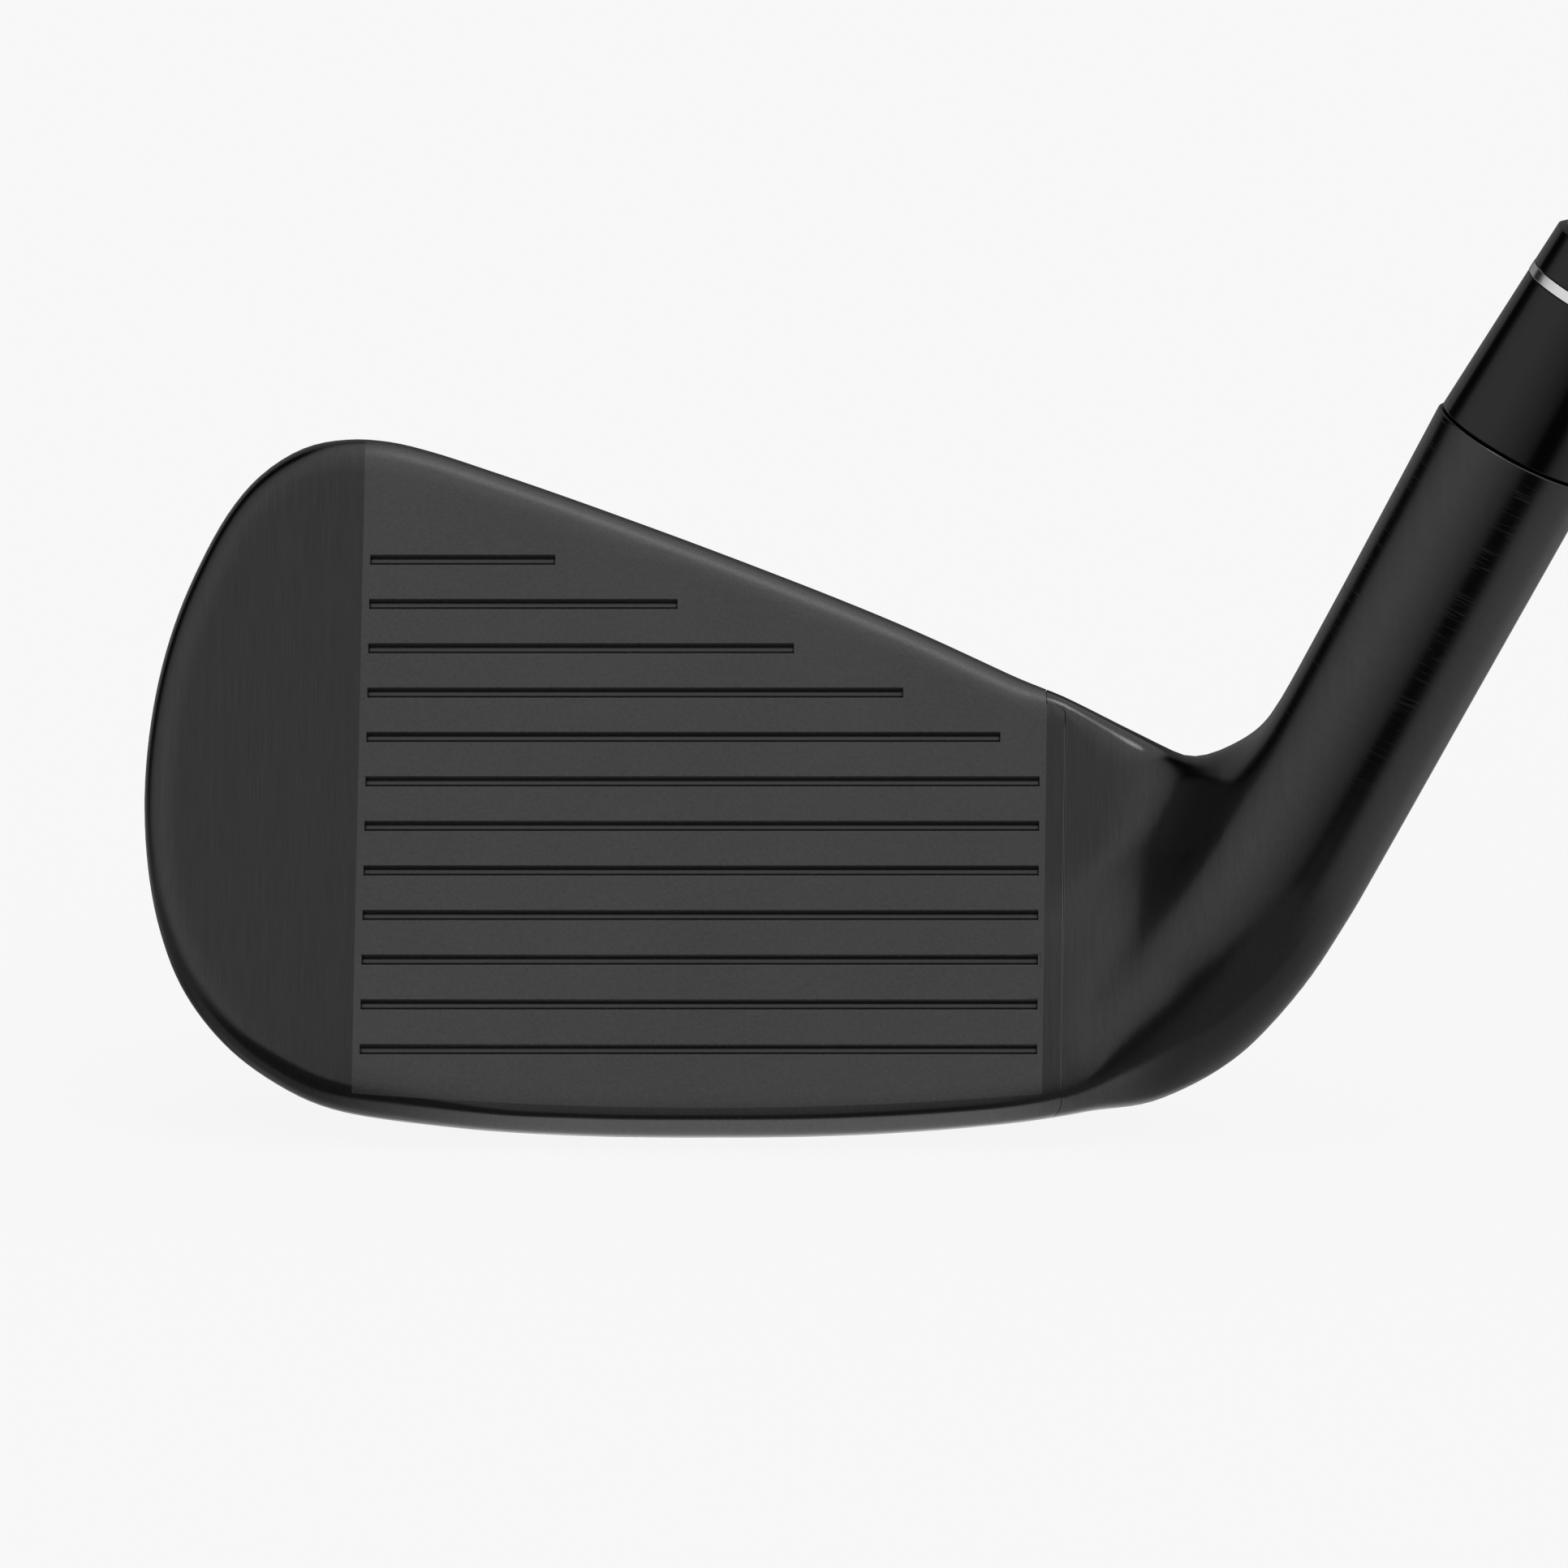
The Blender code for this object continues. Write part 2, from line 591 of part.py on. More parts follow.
PORT_X, PORT_UP, PORT_BEHIND = -41.9, 22.5, 6.0


def front_block(name, gap):
    """Everything in front of the weld plane and toe-side of the seam, less the gap."""
    seam = FACE_SEAM_X - gap
    corners = [(-80, -30), (seam, -30), (seam, 90), (-80, 90)]
    return outline_solid(name, corners, -(FACE_THICK - gap), FRONT_OF_FACE)


head_skin = head_mesh("head_body")
face_skin = head_skin.copy()
head_body = placed("head_body", head_skin, black_steel)
cut(head_body, front_block("cut_front", gap=0.0))
cut(head_body, outline_solid("cut_cavity_top", CAVITY_TOP, -CAVITY_TOP_DEPTH, 2.0))
cut(head_body, outline_solid("cut_cavity_low", CAVITY_LOW, -CAVITY_LOW_DEPTH, 2.3))
# bore with a flared mouth and a coned floor
bore_profile = [
    (0, HOSEL_TOP + 3), (BORE_R + 3.5, HOSEL_TOP + 3), (BORE_R, HOSEL_TOP - 0.5),
    (BORE_R, BORE_BOTTOM), (0, BORE_BOTTOM - 1.6),
]
cut(head_body, turned("cut_bore", bore_profile))
ground = [(-70, -40), (120, -40), (120, 60), (-70, 60)]
cut(head_body, outline_solid("cut_ground", ground, -20, 0, frame=Matrix.Identity(4)))

# fill port in the toe: local Z points out of the toe
port = empty(
    "port_axis",
    FACE
    @ Matrix.Translation((PORT_X * MM, PORT_UP * MM, -PORT_BEHIND * MM))
    @ Matrix.Rotation(radians(-90), 4, "Y"),
)


def port_turned(name, profile, finish=None, ring=False, flats=PORT_FLATS):
    return turned(name, profile, finish, ring, parent=port, flats=flats)


port_hole = [(0, 6), (2.9, 6), (2.9, 0), (1.75, 0), (1.75, -6.0), (0, -6.0)]
cut(head_body, port_turned("cut_port", port_hole))
cut(head_body, outline_solid("cut_badge_pocket", BADGE, -14.0, BADGE_FLOOR))

# ------------------------------------------------------------------ face plate
GROOVES = 12
GROOVE_PITCH, GROOVE_FIRST = 3.622, 8.82      # up the face
GROOVE_WIDTH, GROOVE_FLOOR, GROOVE_DEPTH = 0.80, 0.46, 0.42
GROOVE_RIGHT, GROOVE_LEFT = 26.3, -27.4
GROOVE_LEFT_SHIFT = 0.05                      # change of the toe end from groove to groove
GROOVE_END_TRIM = 0.35                        # the floor is shorter by this at each end
GROOVE_RISE = 1.0                             # the bars carry on this far out of the face
TOPLINE_MARGIN = 5.8


def topline_x(height):
    """Where the topline reaches this height up the face, on its heel side."""
    top = LOOP[(LOOP[:, 1] > 33.5) & (LOOP[:, 0] > -27) & (LOOP[:, 0] < 38)]
    top = top[np.argsort(top[:, 1])]
    return float(np.interp(height, top[:, 1], top[:, 0]))


def groove_cutters():
    """Tapered bars, one for each score line, in one cutter."""
    flare = GROOVE_RISE / GROOVE_DEPTH        # carries the walls' slope on above the face
    top_width = GROOVE_WIDTH + flare * (GROOVE_WIDTH - GROOVE_FLOOR)
    bm = bmesh.new()
    for k in range(GROOVES):
        height = GROOVE_FIRST + GROOVE_PITCH * k
        left = GROOVE_LEFT + GROOVE_LEFT_SHIFT * (k - GROOVES / 2)
        right = min(GROOVE_RIGHT, topline_x(height + TOPLINE_MARGIN))
        for corner in bmesh.ops.create_cube(bm, size=1.0)["verts"]:
            deep = corner.co.z < 0
            half = (GROOVE_FLOOR if deep else top_width) / 2
            trim = GROOVE_END_TRIM * (1.0 if deep else -flare)
            corner.co.x = (left + trim) if corner.co.x < 0 else (right - trim)
            corner.co.y = height + (half if corner.co.y > 0 else -half)
            corner.co.z = -GROOVE_DEPTH if deep else GROOVE_RISE
            corner.co *= MM
    mesh = bpy.data.meshes.new("cut_grooves")
    bm.to_mesh(mesh)
    bm.free()
    return placed("cut_grooves", mesh, matrix=FACE)


face_plate = placed("face_plate", face_skin, black_face)
cut(face_plate, front_block("keep_front", gap=WELD_GAP), "INTERSECT")
cut(face_plate, groove_cutters())

# ------------------------------------------------------------------ inside the head
TOE_BLOCK = [(-35.6, 12.3), (-38.0, 17.2), (-38.3, 19.2), (-19.0, 19.2), (-19.0, 12.3)]
TOE_BLOCK_FRONT = -3.6
LOW_FLOOR = -(CAVITY_LOW_DEPTH - CLEARANCE)
toe_weight = outline_solid("toe_weight", TOE_BLOCK, LOW_FLOOR, TOE_BLOCK_FRONT, tungsten)
bevel = toe_weight.modifiers.new("bevel", "BEVEL")
bevel.width = 0.6 * MM
bevel.segments = 1
bevel.limit_method = "ANGLE"
bevel.angle_limit = radians(50)

# foam fills both cavities, clear of the toe weight and the port screw
FOAM_FRONT = -(FACE_THICK + CLEARANCE)
foam_core = outline_solid("foam_core", inset(CAVITY_LOW, CLEARANCE), LOW_FLOOR, FOAM_FRONT, foam)
foam_top = outline_solid(
    "add_foam_top",
    inset(CAVITY_TOP, CLEARANCE),
    -(CAVITY_TOP_DEPTH - CLEARANCE),
    FOAM_FRONT - 0.01,               # set back so that the two fronts are not coplanar
)
weight_room = outline_solid(
    "cut_toe_weight", inset(TOE_BLOCK, -CLEARANCE), -14, TOE_BLOCK_FRONT + CLEARANCE
)
cut(foam_core, foam_top, "UNION")
cut(foam_core, weight_room)
cut(foam_core, port_turned("cut_port_clearance", [(0, 6), (2.3, 6), (2.3, -4.4), (0, -4.4)]))

# screw with a hexagon socket, and its ring seal
screw_profile = [
    (0, 1.45), (2.35, 1.45), (2.6, 1.2), (2.6, 0.35), (1.5, 0.35), (1.5, -3.6), (1.2, -3.9),
    (0, -3.9),
]
port_screw = port_turned("port_screw", screw_profile, screw_steel)
socket_profile = [(0, 2.5), (1.2, 2.5), (1.2, 0.6), (0, 0.6)]
cut(port_screw, port_turned("cut_socket", socket_profile, flats=6))
seal_profile = [(2.5, 0.3), (2.5, 0.05), (1.85, 0.05), (1.85, 0.3)]
port_turned("port_seal", seal_profile, seal_rubber, ring=True)

# badge on its adhesive pad, in the pocket in the back
outline_solid("badge_adhesive", inset(BADGE, 1.0), -5.45, BADGE_FLOOR - 0.05, badge_glue)
outline_solid("back_badge", inset(BADGE, 0.25), -6.35, -5.50, badge_metal)

# ------------------------------------------------------------------ shaft
SHAFT_TIP_R, SHAFT_BUTT_R, SHAFT_WALL = 4.70, 7.62, 0.55
SHAFT_FOOT, SHAFT_TOP = 34.5, 935.5
STEP_FIRST, STEP_PITCH, STEPS = 262.0, 42.0, 9
STEP_LENGTH = 0.8                    # slope of one step, along the shaft
SLEEVE_R = SHAFT_TIP_R + GAP         # inside of the rings bonded round the tip
PIN_R = SHAFT_TIP_R - SHAFT_WALL - 0.1


def tube(name, outer, inner, foot, top, finish):
    """A ring between two radii; each of outer's two radii is at the top and at the foot."""
    profile = [(outer[0], top), (outer[1], foot), (inner, foot), (inner, top)]
    return turned(name, profile, finish, ring=True)


def shaft_profile():
    """Stepped tube: parallel tip, step-ups, parallel butt. Down the outside, up the inside."""
    rise = (SHAFT_BUTT_R - SHAFT_TIP_R) / STEPS
    radius = SHAFT_BUTT_R
    outer = [(radius, SHAFT_TOP)]
    for k in reversed(range(STEPS)):
        height = STEP_FIRST + STEP_PITCH * k
        outer.append((radius, height + STEP_LENGTH))
        radius -= rise
        outer.append((radius, height))
    outer.append((SHAFT_TIP_R, SHAFT_FOOT))
    inner = [(radius - SHAFT_WALL, height) for radius, height in outer]
    return outer + inner[::-1]


glue_r = BORE_R - GAP
tube("hosel_adhesive", (glue_r, glue_r), SLEEVE_R, BORE_BOTTOM + 0.1, HOSEL_TOP - 1.0, epoxy)
turned("shaft", shaft_profile(), shaft_steel, ring=True)
pin_profile = [
    (0, 56.0), (2.9, 56.0), (3.3, 55.6), (PIN_R, 55.0), (PIN_R, 36.0), (3.6, 35.4), (0, 35.4),
]
turned("tip_weight_pin", pin_profile, brass)

# ------------------------------------------------------------------ ferrule
FERRULE_FOOT_R, FERRULE_TOP_R = 6.64, 5.48
FERRULE_FOOT, RING_FOOT, RING_TOP, FERRULE_TOP = 64.0, 76.8, 77.7, 81.6
RING_PROUD = 0.03                    # the ring stands out of the taper by this
JOINT = 0.02                         # each piece stops this short of a ring face


def ferrule_r(height):
    share = (height - FERRULE_FOOT) / (FERRULE_TOP - FERRULE_FOOT)
    return FERRULE_FOOT_R + (FERRULE_TOP_R - FERRULE_FOOT_R) * share


lower_radii = (ferrule_r(RING_FOOT), ferrule_r(FERRULE_FOOT))
ring_radii = (ferrule_r(RING_TOP) + RING_PROUD, ferrule_r(RING_FOOT) + RING_PROUD)
tube("ferrule_lower", lower_radii, SLEEVE_R, FERRULE_FOOT + GAP, RING_FOOT - JOINT, lower_gloss)
tube("ferrule_ring", ring_radii, SLEEVE_R, RING_FOOT + JOINT, RING_TOP - JOINT, silver)
# upper collar, chamfered at its top
upper_profile = [
    (SLEEVE_R, FERRULE_TOP), (SLEEVE_R + 0.25, FERRULE_TOP),
    (ferrule_r(FERRULE_TOP) - 0.02, FERRULE_TOP - 0.75),
    (ferrule_r(RING_TOP), RING_TOP + JOINT), (SLEEVE_R, RING_TOP + JOINT),
]
turned("ferrule_upper", upper_profile, upper_gloss, ring=True)

# ------------------------------------------------------------------ grip
GRIP_FROM, GRIP_TO = 672.0, 936.0
GRIP_MOUTH_R, GRIP_BUTT_R = 8.7, 12.9
TAPE_R = SHAFT_BUTT_R + 0.2
CAP_R, CAP_HOLE_R = 13.2, 1.5


def grip_r(height):
    """Outer radius: a thin mouth, a long taper, and a flare to the butt."""
    t = (height - GRIP_FROM) / (GRIP_TO - GRIP_FROM)
    return GRIP_MOUTH_R + (GRIP_BUTT_R - GRIP_MOUTH_R) * (0.62 * t + 0.38 * t**4)


tape_outer = TAPE_R - GAP
tube(
    "grip_tape", (tape_outer, tape_outer), SHAFT_BUTT_R + GAP, GRIP_FROM + 6, GRIP_TO - 4,
    tape_paper,
)

lip_r = grip_r(GRIP_FROM) + 0.35     # raised lip round the mouth
grip_heights = [GRIP_TO] + np.linspace(GRIP_TO - 8, GRIP_FROM + 3.2, 9).tolist()
sleeve_profile = [(grip_r(height), height) for height in grip_heights] + [
    (lip_r, GRIP_FROM + 3.0), (lip_r, GRIP_FROM + 0.6), (GRIP_MOUTH_R - 0.3, GRIP_FROM),
    (TAPE_R, GRIP_FROM), (TAPE_R, GRIP_TO),
]
turned("grip_sleeve", sleeve_profile, grip_rubber, ring=True)

cap_profile = [
    (CAP_HOLE_R, CLUB_LENGTH), (11.3, CLUB_LENGTH), (12.6, CLUB_LENGTH - 0.5),
    (CAP_R, CLUB_LENGTH - 1.6), (CAP_R, GRIP_TO + 0.5), (GRIP_BUTT_R, GRIP_TO + GAP),
    (CAP_HOLE_R, GRIP_TO + GAP),
]
turned("grip_cap", cap_profile, cap_rubber, ring=True)

bpy.context.view_layer.update()
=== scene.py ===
# A golf iron standing on its sole on the floor plane z = 0, in metres with +Z up.
# The toe lies towards -X and the heel towards +X. The face looks to the front (-Y) and leans
# back by the loft. The hosel and shaft rise from the heel and lean towards +X.
# Lengths are in mm unless a comment says otherwise; MM turns them into metres.
import json
from math import cos, pi, radians, sin

import bmesh
import bpy
import numpy as np
from mathutils import Matrix

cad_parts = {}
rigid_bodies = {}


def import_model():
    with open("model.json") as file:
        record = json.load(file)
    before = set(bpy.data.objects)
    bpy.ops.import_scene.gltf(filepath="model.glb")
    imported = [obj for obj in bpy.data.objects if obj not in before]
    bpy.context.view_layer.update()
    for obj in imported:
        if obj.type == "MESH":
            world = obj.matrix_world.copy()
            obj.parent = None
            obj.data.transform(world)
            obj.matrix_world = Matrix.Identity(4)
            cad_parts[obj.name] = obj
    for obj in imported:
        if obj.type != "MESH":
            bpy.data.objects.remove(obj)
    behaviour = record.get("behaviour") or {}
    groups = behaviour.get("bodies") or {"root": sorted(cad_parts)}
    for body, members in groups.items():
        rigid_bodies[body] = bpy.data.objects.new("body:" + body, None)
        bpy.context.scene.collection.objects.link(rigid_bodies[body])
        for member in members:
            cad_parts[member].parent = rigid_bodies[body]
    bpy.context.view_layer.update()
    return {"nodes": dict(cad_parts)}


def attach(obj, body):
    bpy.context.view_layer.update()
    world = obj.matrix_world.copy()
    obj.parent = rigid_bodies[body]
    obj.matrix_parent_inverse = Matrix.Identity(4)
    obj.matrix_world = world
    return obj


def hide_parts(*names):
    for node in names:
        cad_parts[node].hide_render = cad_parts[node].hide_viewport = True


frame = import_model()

# ---------------------------------------------------------------- driving dimensions
MM = 0.001
LOFT_DEG, LIE_DEG = 28.0, 62.5
CLUB_LENGTH = 939.8
AXIS_X, AXIS_Y = 34.0, -5.0            # where the shaft axis meets the floor
FACE_FOOT_Y = -10.6                    # where the face plane meets the floor
HOSEL_TOP, HOSEL_R, HOSEL_TAPER = 63.95, 6.84, 0.0108
FACE_THICK, SEAM_X, SEAM_GAP = 2.2, 28.0, 0.05
GROOVES, GROOVE_PITCH, GROOVE_FIRST = 12, 3.622, 8.82
GROOVE_WIDTH, GROOVE_FLOOR, GROOVE_DEPTH = 0.80, 0.38, 0.50
BORE_R, BORE_BOTTOM = 4.98, 33.5
SHAFT_TIP_R, SHAFT_BUTT_R, SHAFT_WALL = 4.70, 7.62, 0.55
SHAFT_FOOT, SHAFT_TOP = 34.5, 935.5
STEP_FIRST, STEP_PITCH, STEPS = 262.0, 42.0, 9
FERRULE_LOW_R, FERRULE_HIGH_R = 6.64, 5.48
FERRULE_FOOT, RING_LOW, RING_HIGH, FERRULE_TOP = 64.0, 76.8, 77.7, 81.6
COLLAR_BORE_R = SHAFT_TIP_R + 0.05
GRIP_FROM, GRIP_TO = 672.0, 936.0
GRIP_MOUTH_R, GRIP_BUTT_R = 8.7, 12.9
TAPE_R = SHAFT_BUTT_R + 0.2

SIN_LOFT, COS_LOFT = sin(radians(LOFT_DEG)), cos(radians(LOFT_DEG))
SIN_LIE, COS_LIE = sin(radians(LIE_DEG)), cos(radians(LIE_DEG))
AXIS = np.array([COS_LIE, 0.0, SIN_LIE])
ACROSS_AXIS = np.array([-SIN_LIE, 0.0, COS_LIE])

# Local frames. FACE: x to the heel, y up the face, z out of it. SHAFT: z up the shaft.
# PORT: z out of the toe.
FACE = Matrix(((1.0, 0.0, 0.0, 0.0), (0.0, SIN_LOFT, -COS_LOFT, FACE_FOOT_Y * MM),
               (0.0, COS_LOFT, SIN_LOFT, 0.0), (0.0, 0.0, 0.0, 1.0)))
SHAFT = (Matrix.Translation((AXIS_X * MM, AXIS_Y * MM, 0.0))
         @ Matrix.Rotation(radians(90 - LIE_DEG), 4, "Y"))
PORT = (FACE @ Matrix.Translation((-41.9 * MM, 22.5 * MM, -6.0 * MM))
        @ Matrix.Rotation(radians(-90), 4, "Y"))

# The blade's outline on the face: (across to the heel, up the face)
OUTLINE = [
    (-28.5, 3.3), (-20, 1.9), (-8, 1.1), (4, 1.0), (16, 1.5), (26, 2.6), (33, 4.3), (38.2, 6.8),
    (42, 9.8), (44.6, 14.1), (46.2, 19.5), (46.8, 25.0), (46.2, 30.8), (42.8, 32.3),
    (39.4, 33.3), (36, 34.4), (32.8, 35.6), (26.4, 38.5), (15.1, 43.8), (2.1, 49.1),
    (-10.9, 54.0), (-17.4, 56.3), (-22.2, 57.9), (-25.5, 58.7), (-28.7, 58.9), (-32.0, 58.3),
    (-35.2, 56.4), (-38.4, 52.8), (-41.6, 46.6), (-43.7, 39.9), (-44.8, 32.0), (-44.7, 25.4),
    (-43.6, 18.8), (-41.6, 13.5), (-38.0, 8.8), (-33.3, 5.4),
]
# The bent tube from the heel into the hosel: (x, y, z, radius)
HEEL_TUBE = [
    (26.0, -2.6, 6.0, 2.3), (30.5, -2.9, 7.3, 3.4), (34.9, -3.4, 9.3, 4.5),
    (38.9, -4.0, 12.45, 5.55), (42.2, -4.6, 16.75, 6.2), (45.1, -4.95, 21.6, 6.45),
]
HOSEL_STATIONS = (28.5, 35.0, 50.0, 70.0)   # heights along the shaft axis that carry it on


def axis_point(along):
    return AXIS_X + along * COS_LIE, AXIS_Y, along * SIN_LIE


# ---------------------------------------------------------------- small maths
def ease(value, low, high):
    """Smooth step: 0 at low, 1 at high."""
    t = np.clip((value - low) / (high - low), 0, 1)
    return t * t * (3 - 2 * t)


def smooth_min(first, second, blend):
    overlap = np.maximum(blend - np.abs(first - second), 0) / blend
    return np.minimum(first, second) - overlap**3 * blend / 6


def round_and(first, second, radius):
    """The overlap of two distance fields, with a rounded edge."""
    return (np.minimum(-radius, np.maximum(first, second))
            + np.sqrt(np.maximum(first + radius, 0) ** 2 + np.maximum(second + radius, 0) ** 2))


def spline_loop(points, per_span):
    """A closed centripetal Catmull-Rom curve through the points."""
    points = np.array(points, float)
    count = len(points)
    curve = []
    for i in range(count):
        quad = [points[i - 1], points[i], points[(i + 1) % count], points[(i + 2) % count]]
        knots = [0.0]
        for start, end in zip(quad, quad[1:]):
            knots.append(knots[-1] + np.linalg.norm(end - start) ** 0.5)
        for k in range(per_span):
            at = knots[1] + (knots[2] - knots[1]) * k / per_span
            near = [((knots[j + 1] - at) * quad[j] + (at - knots[j]) * quad[j + 1])
                    / (knots[j + 1] - knots[j]) for j in range(3)]
            far = [((knots[j + 2] - at) * near[j] + (at - knots[j]) * near[j + 1])
                   / (knots[j + 2] - knots[j]) for j in range(2)]
            curve.append(((knots[2] - at) * far[0] + (at - knots[1]) * far[1])
                         / (knots[2] - knots[1]))
    return np.array(curve)


# ---------------------------------------------------------------- the head as a distance field
LOOP = spline_loop(OUTLINE, 10)
CELL = 0.5


def outline_table():
    """Signed distance to the outline on a grid, negative inside."""
    grid_x, grid_y = np.arange(-52, 60, CELL), np.arange(-12, 68, CELL)
    all_x, all_y = np.meshgrid(grid_x, grid_y, indexing="ij")
    spots = np.stack([all_x.ravel(), all_y.ravel()], 1)
    nearest, inside = np.full(len(spots), 1e9), np.zeros(len(spots), bool)
    for start, end in zip(LOOP, np.roll(LOOP, -1, 0)):
        edge, offset = end - start, spots - start
        t = np.clip((offset @ edge) / (edge @ edge), 0, 1)
        nearest = np.minimum(nearest, ((offset - t[:, None] * edge) ** 2).sum(1))
        crosses = (start[1] > spots[:, 1]) != (end[1] > spots[:, 1])
        crossing_x = start[0] + (spots[:, 1] - start[1]) * edge[0] / (edge[1] + 1e-30)
        inside ^= crosses & (spots[:, 0] < crossing_x)
    distance = np.sqrt(nearest)
    distance[inside] *= -1
    return grid_x, grid_y, distance.reshape(all_x.shape)


GRID_X, GRID_Y, GRID_DISTANCE = outline_table()


def cubic(p0, p1, p2, p3, t):
    return p1 + 0.5 * t * (p2 - p0 + t * (2 * p0 - 5 * p1 + 4 * p2 - p3
                                          + t * (3 * (p1 - p2) + p3 - p0)))


def outline_distance(across, up):
    """The outline table read with cubic interpolation."""
    col = np.clip((across - GRID_X[0]) / CELL, 1.001, len(GRID_X) - 3.001)
    row = np.clip((up - GRID_Y[0]) / CELL, 1.001, len(GRID_Y) - 3.001)
    i, j = col.astype(int), row.astype(int)
    lines = [cubic(*[GRID_DISTANCE[i + k, j + m] for m in (-1, 0, 1, 2)], row - j)
             for k in (-1, 0, 1, 2)]
    return cubic(*lines, col - i)


def back_depth(across, up):
    """Depth of the back behind the face: thin at the top, a step, then a thick foot."""
    top = 6.0 + 0.5 * ease(across, 0, -35)
    step = 6.2 / (1 + np.exp((up - 23.0) / 1.9))
    foot = 1.7 * np.log1p(np.exp((19.0 - up) / 2))
    return top + step + foot


FACE_CURL = 8.6     # how far the face and rim curl forward into the hosel


def blade(points):
    """The blade's field: face, rim, sole and back, joined by rounded edges."""
    x, y, z = points[..., 0], points[..., 1], points[..., 2]
    from_foot = y - FACE_FOOT_Y
    up = from_foot * SIN_LOFT + z * COS_LOFT
    behind = from_foot * COS_LOFT - z * SIN_LOFT
    rim_behind = behind + FACE_CURL * ease(up, 6, 34) * ease(x, 32.5, 49.5)
    # the face curls forward over a shorter stretch high up than low down
    high = ease(up, 17, 30)
    behind = behind + FACE_CURL * ease(up, 1, 26) * ease(x, 25 + 10 * high, 47 - 3.5 * high)
    # the rim drafts with depth in the lower part, and grows a little along the topline
    edge = outline_distance(x, up - 0.38 * np.maximum(rim_behind - 1.5, 0) * ease(up, 33, 14))
    edge = edge - 0.2 * ease(up, 31, 37) * (1 - ease(x, 32, 40)) * ease(x, -41, -36)
    # the sole curves up to toe and heel, front and back, and is a little fuller in the middle
    sole = np.maximum(np.abs(x) - 3, 0) ** 2 / 430
    sole = sole - 0.3 * (1 - ease(np.abs(x), 10, 24)) * (1 - ease(np.abs(y - 0.5), 4, 9))
    sole = sole + np.where(y < -2, (y + 2) ** 2 / 44, np.where(y > 3, (y - 3) ** 2 / 52, 0))
    rim = -smooth_min(-edge, -(sole - z), 2.0)
    # the back is deeper near the hosel and shallower at the heel's foot; edges round off there
    low, heel = ease(up, 24, 6), ease(x, 22, 46)
    join = ease(x, 27, 43) * (1 - low)
    depth = back_depth(x, up) + 3.0 * join
    depth = depth - heel * np.clip(depth - 8.5, 0, 99) * 0.6
    edge_r = (2.5 + 0.35 * low + 1.1 * low * ease(x, -14, -28)
              - 1.0 * ease(x, 24, 29) * (1 - low) + 1.4 * join)
    front = round_and(-behind, rim, edge_r + heel * low * 3.4)
    back_r = 1.6 + 1.2 * low + heel * (4.5 + 6.0 * low) + 2.6 * join
    return round_and(front, (behind - depth) * 0.92, back_r)


def tube_path():
    """Stations (x, y, z, radius) from the heel up the hosel: a curve, then straight."""
    stations = [np.array(station, float) for station in HEEL_TUBE]
    for along in HOSEL_STATIONS:
        radius = HOSEL_R - HOSEL_TAPER * (HOSEL_TOP - along)
        stations.append(np.array([*axis_point(along), radius]))
    straight_from = len(HEEL_TUBE) + 1
    last = len(stations) - 1
    path = []
    for i in range(last):
        before = stations[i - 1] if i else 2 * stations[0] - stations[1]
        start, end = stations[i], stations[i + 1]
        after = stations[min(i + 2, last)]
        if i >= straight_from:
            path.append(start)
            continue
        leave = (end - before) / 2
        arrive = (end - start) if i == straight_from - 1 else (after - start) / 2
        for t in np.arange(6) / 6:
            path.append((2 * t**3 - 3 * t**2 + 1) * start + (t**3 - 2 * t**2 + t) * leave
                        + (3 * t**2 - 2 * t**3) * end + (t**3 - t**2) * arrive)
    path.append(stations[-1])
    return np.array(path)


TUBE = tube_path()


def neck(points):
    """Distance to the chain of tapered capsules along TUBE."""
    nearest = np.full(points.shape[:-1], 1e9)
    for start, end in zip(TUBE[:-1], TUBE[1:]):
        edge, offset = end[:3] - start[:3], points - start[:3]
        t = np.clip((offset @ edge) / (edge @ edge), 0, 1)
        gap = np.sqrt(((offset - t[..., None] * edge) ** 2).sum(-1))
        nearest = np.minimum(nearest, gap - (start[3] + (end[3] - start[3]) * t))
    return nearest


def sharp_field(points):
    """Blade and neck blended, for a flat list of points. Far from the neck it is left out."""
    field = blade(points)
    near = points[:, 0] > 8.0
    close = points[near]
    if len(close):
        x, y, z = close.T
        blend = 7.5 - 3.0 * ease(z, 25, 34) * (1 - ease(y, -4, 1)) + 3.5 * ease(y, -3, 3)
        blend = blend * (0.08 + 0.92 * ease(x, 26.5, 36))
        field[near] = smooth_min(field[near], neck(close), blend)
    return field


BLUR_CELL, BLUR_REACH = 0.8, 1.8
BLUR_FROM, BLUR_SIZE = np.array([18.0, -20.0, 4.0]), (66, 46, 72)


def blurred_table():
    """The sharp field round the heel on a grid, smoothed by a Gaussian along each axis."""
    axes = [BLUR_FROM[i] + BLUR_CELL * np.arange(BLUR_SIZE[i]) for i in range(3)]
    spots = np.stack(np.meshgrid(*axes, indexing="ij"), -1).reshape(-1, 3)
    field = sharp_field(spots).reshape(BLUR_SIZE)
    half = int(np.ceil(3 * BLUR_REACH / BLUR_CELL))
    kernel = np.exp(-0.5 * (np.arange(-half, half + 1) * BLUR_CELL / BLUR_REACH) ** 2)
    kernel /= kernel.sum()
    for axis in range(3):
        margins = [(half, half) if i == axis else (0, 0) for i in range(3)]
        padded = np.pad(field, margins, mode="edge")
        size = field.shape[axis]
        field = sum(kernel[m] * np.take(padded, np.arange(m, m + size), axis=axis)
                    for m in range(2 * half + 1))
    return field


BLURRED = blurred_table()


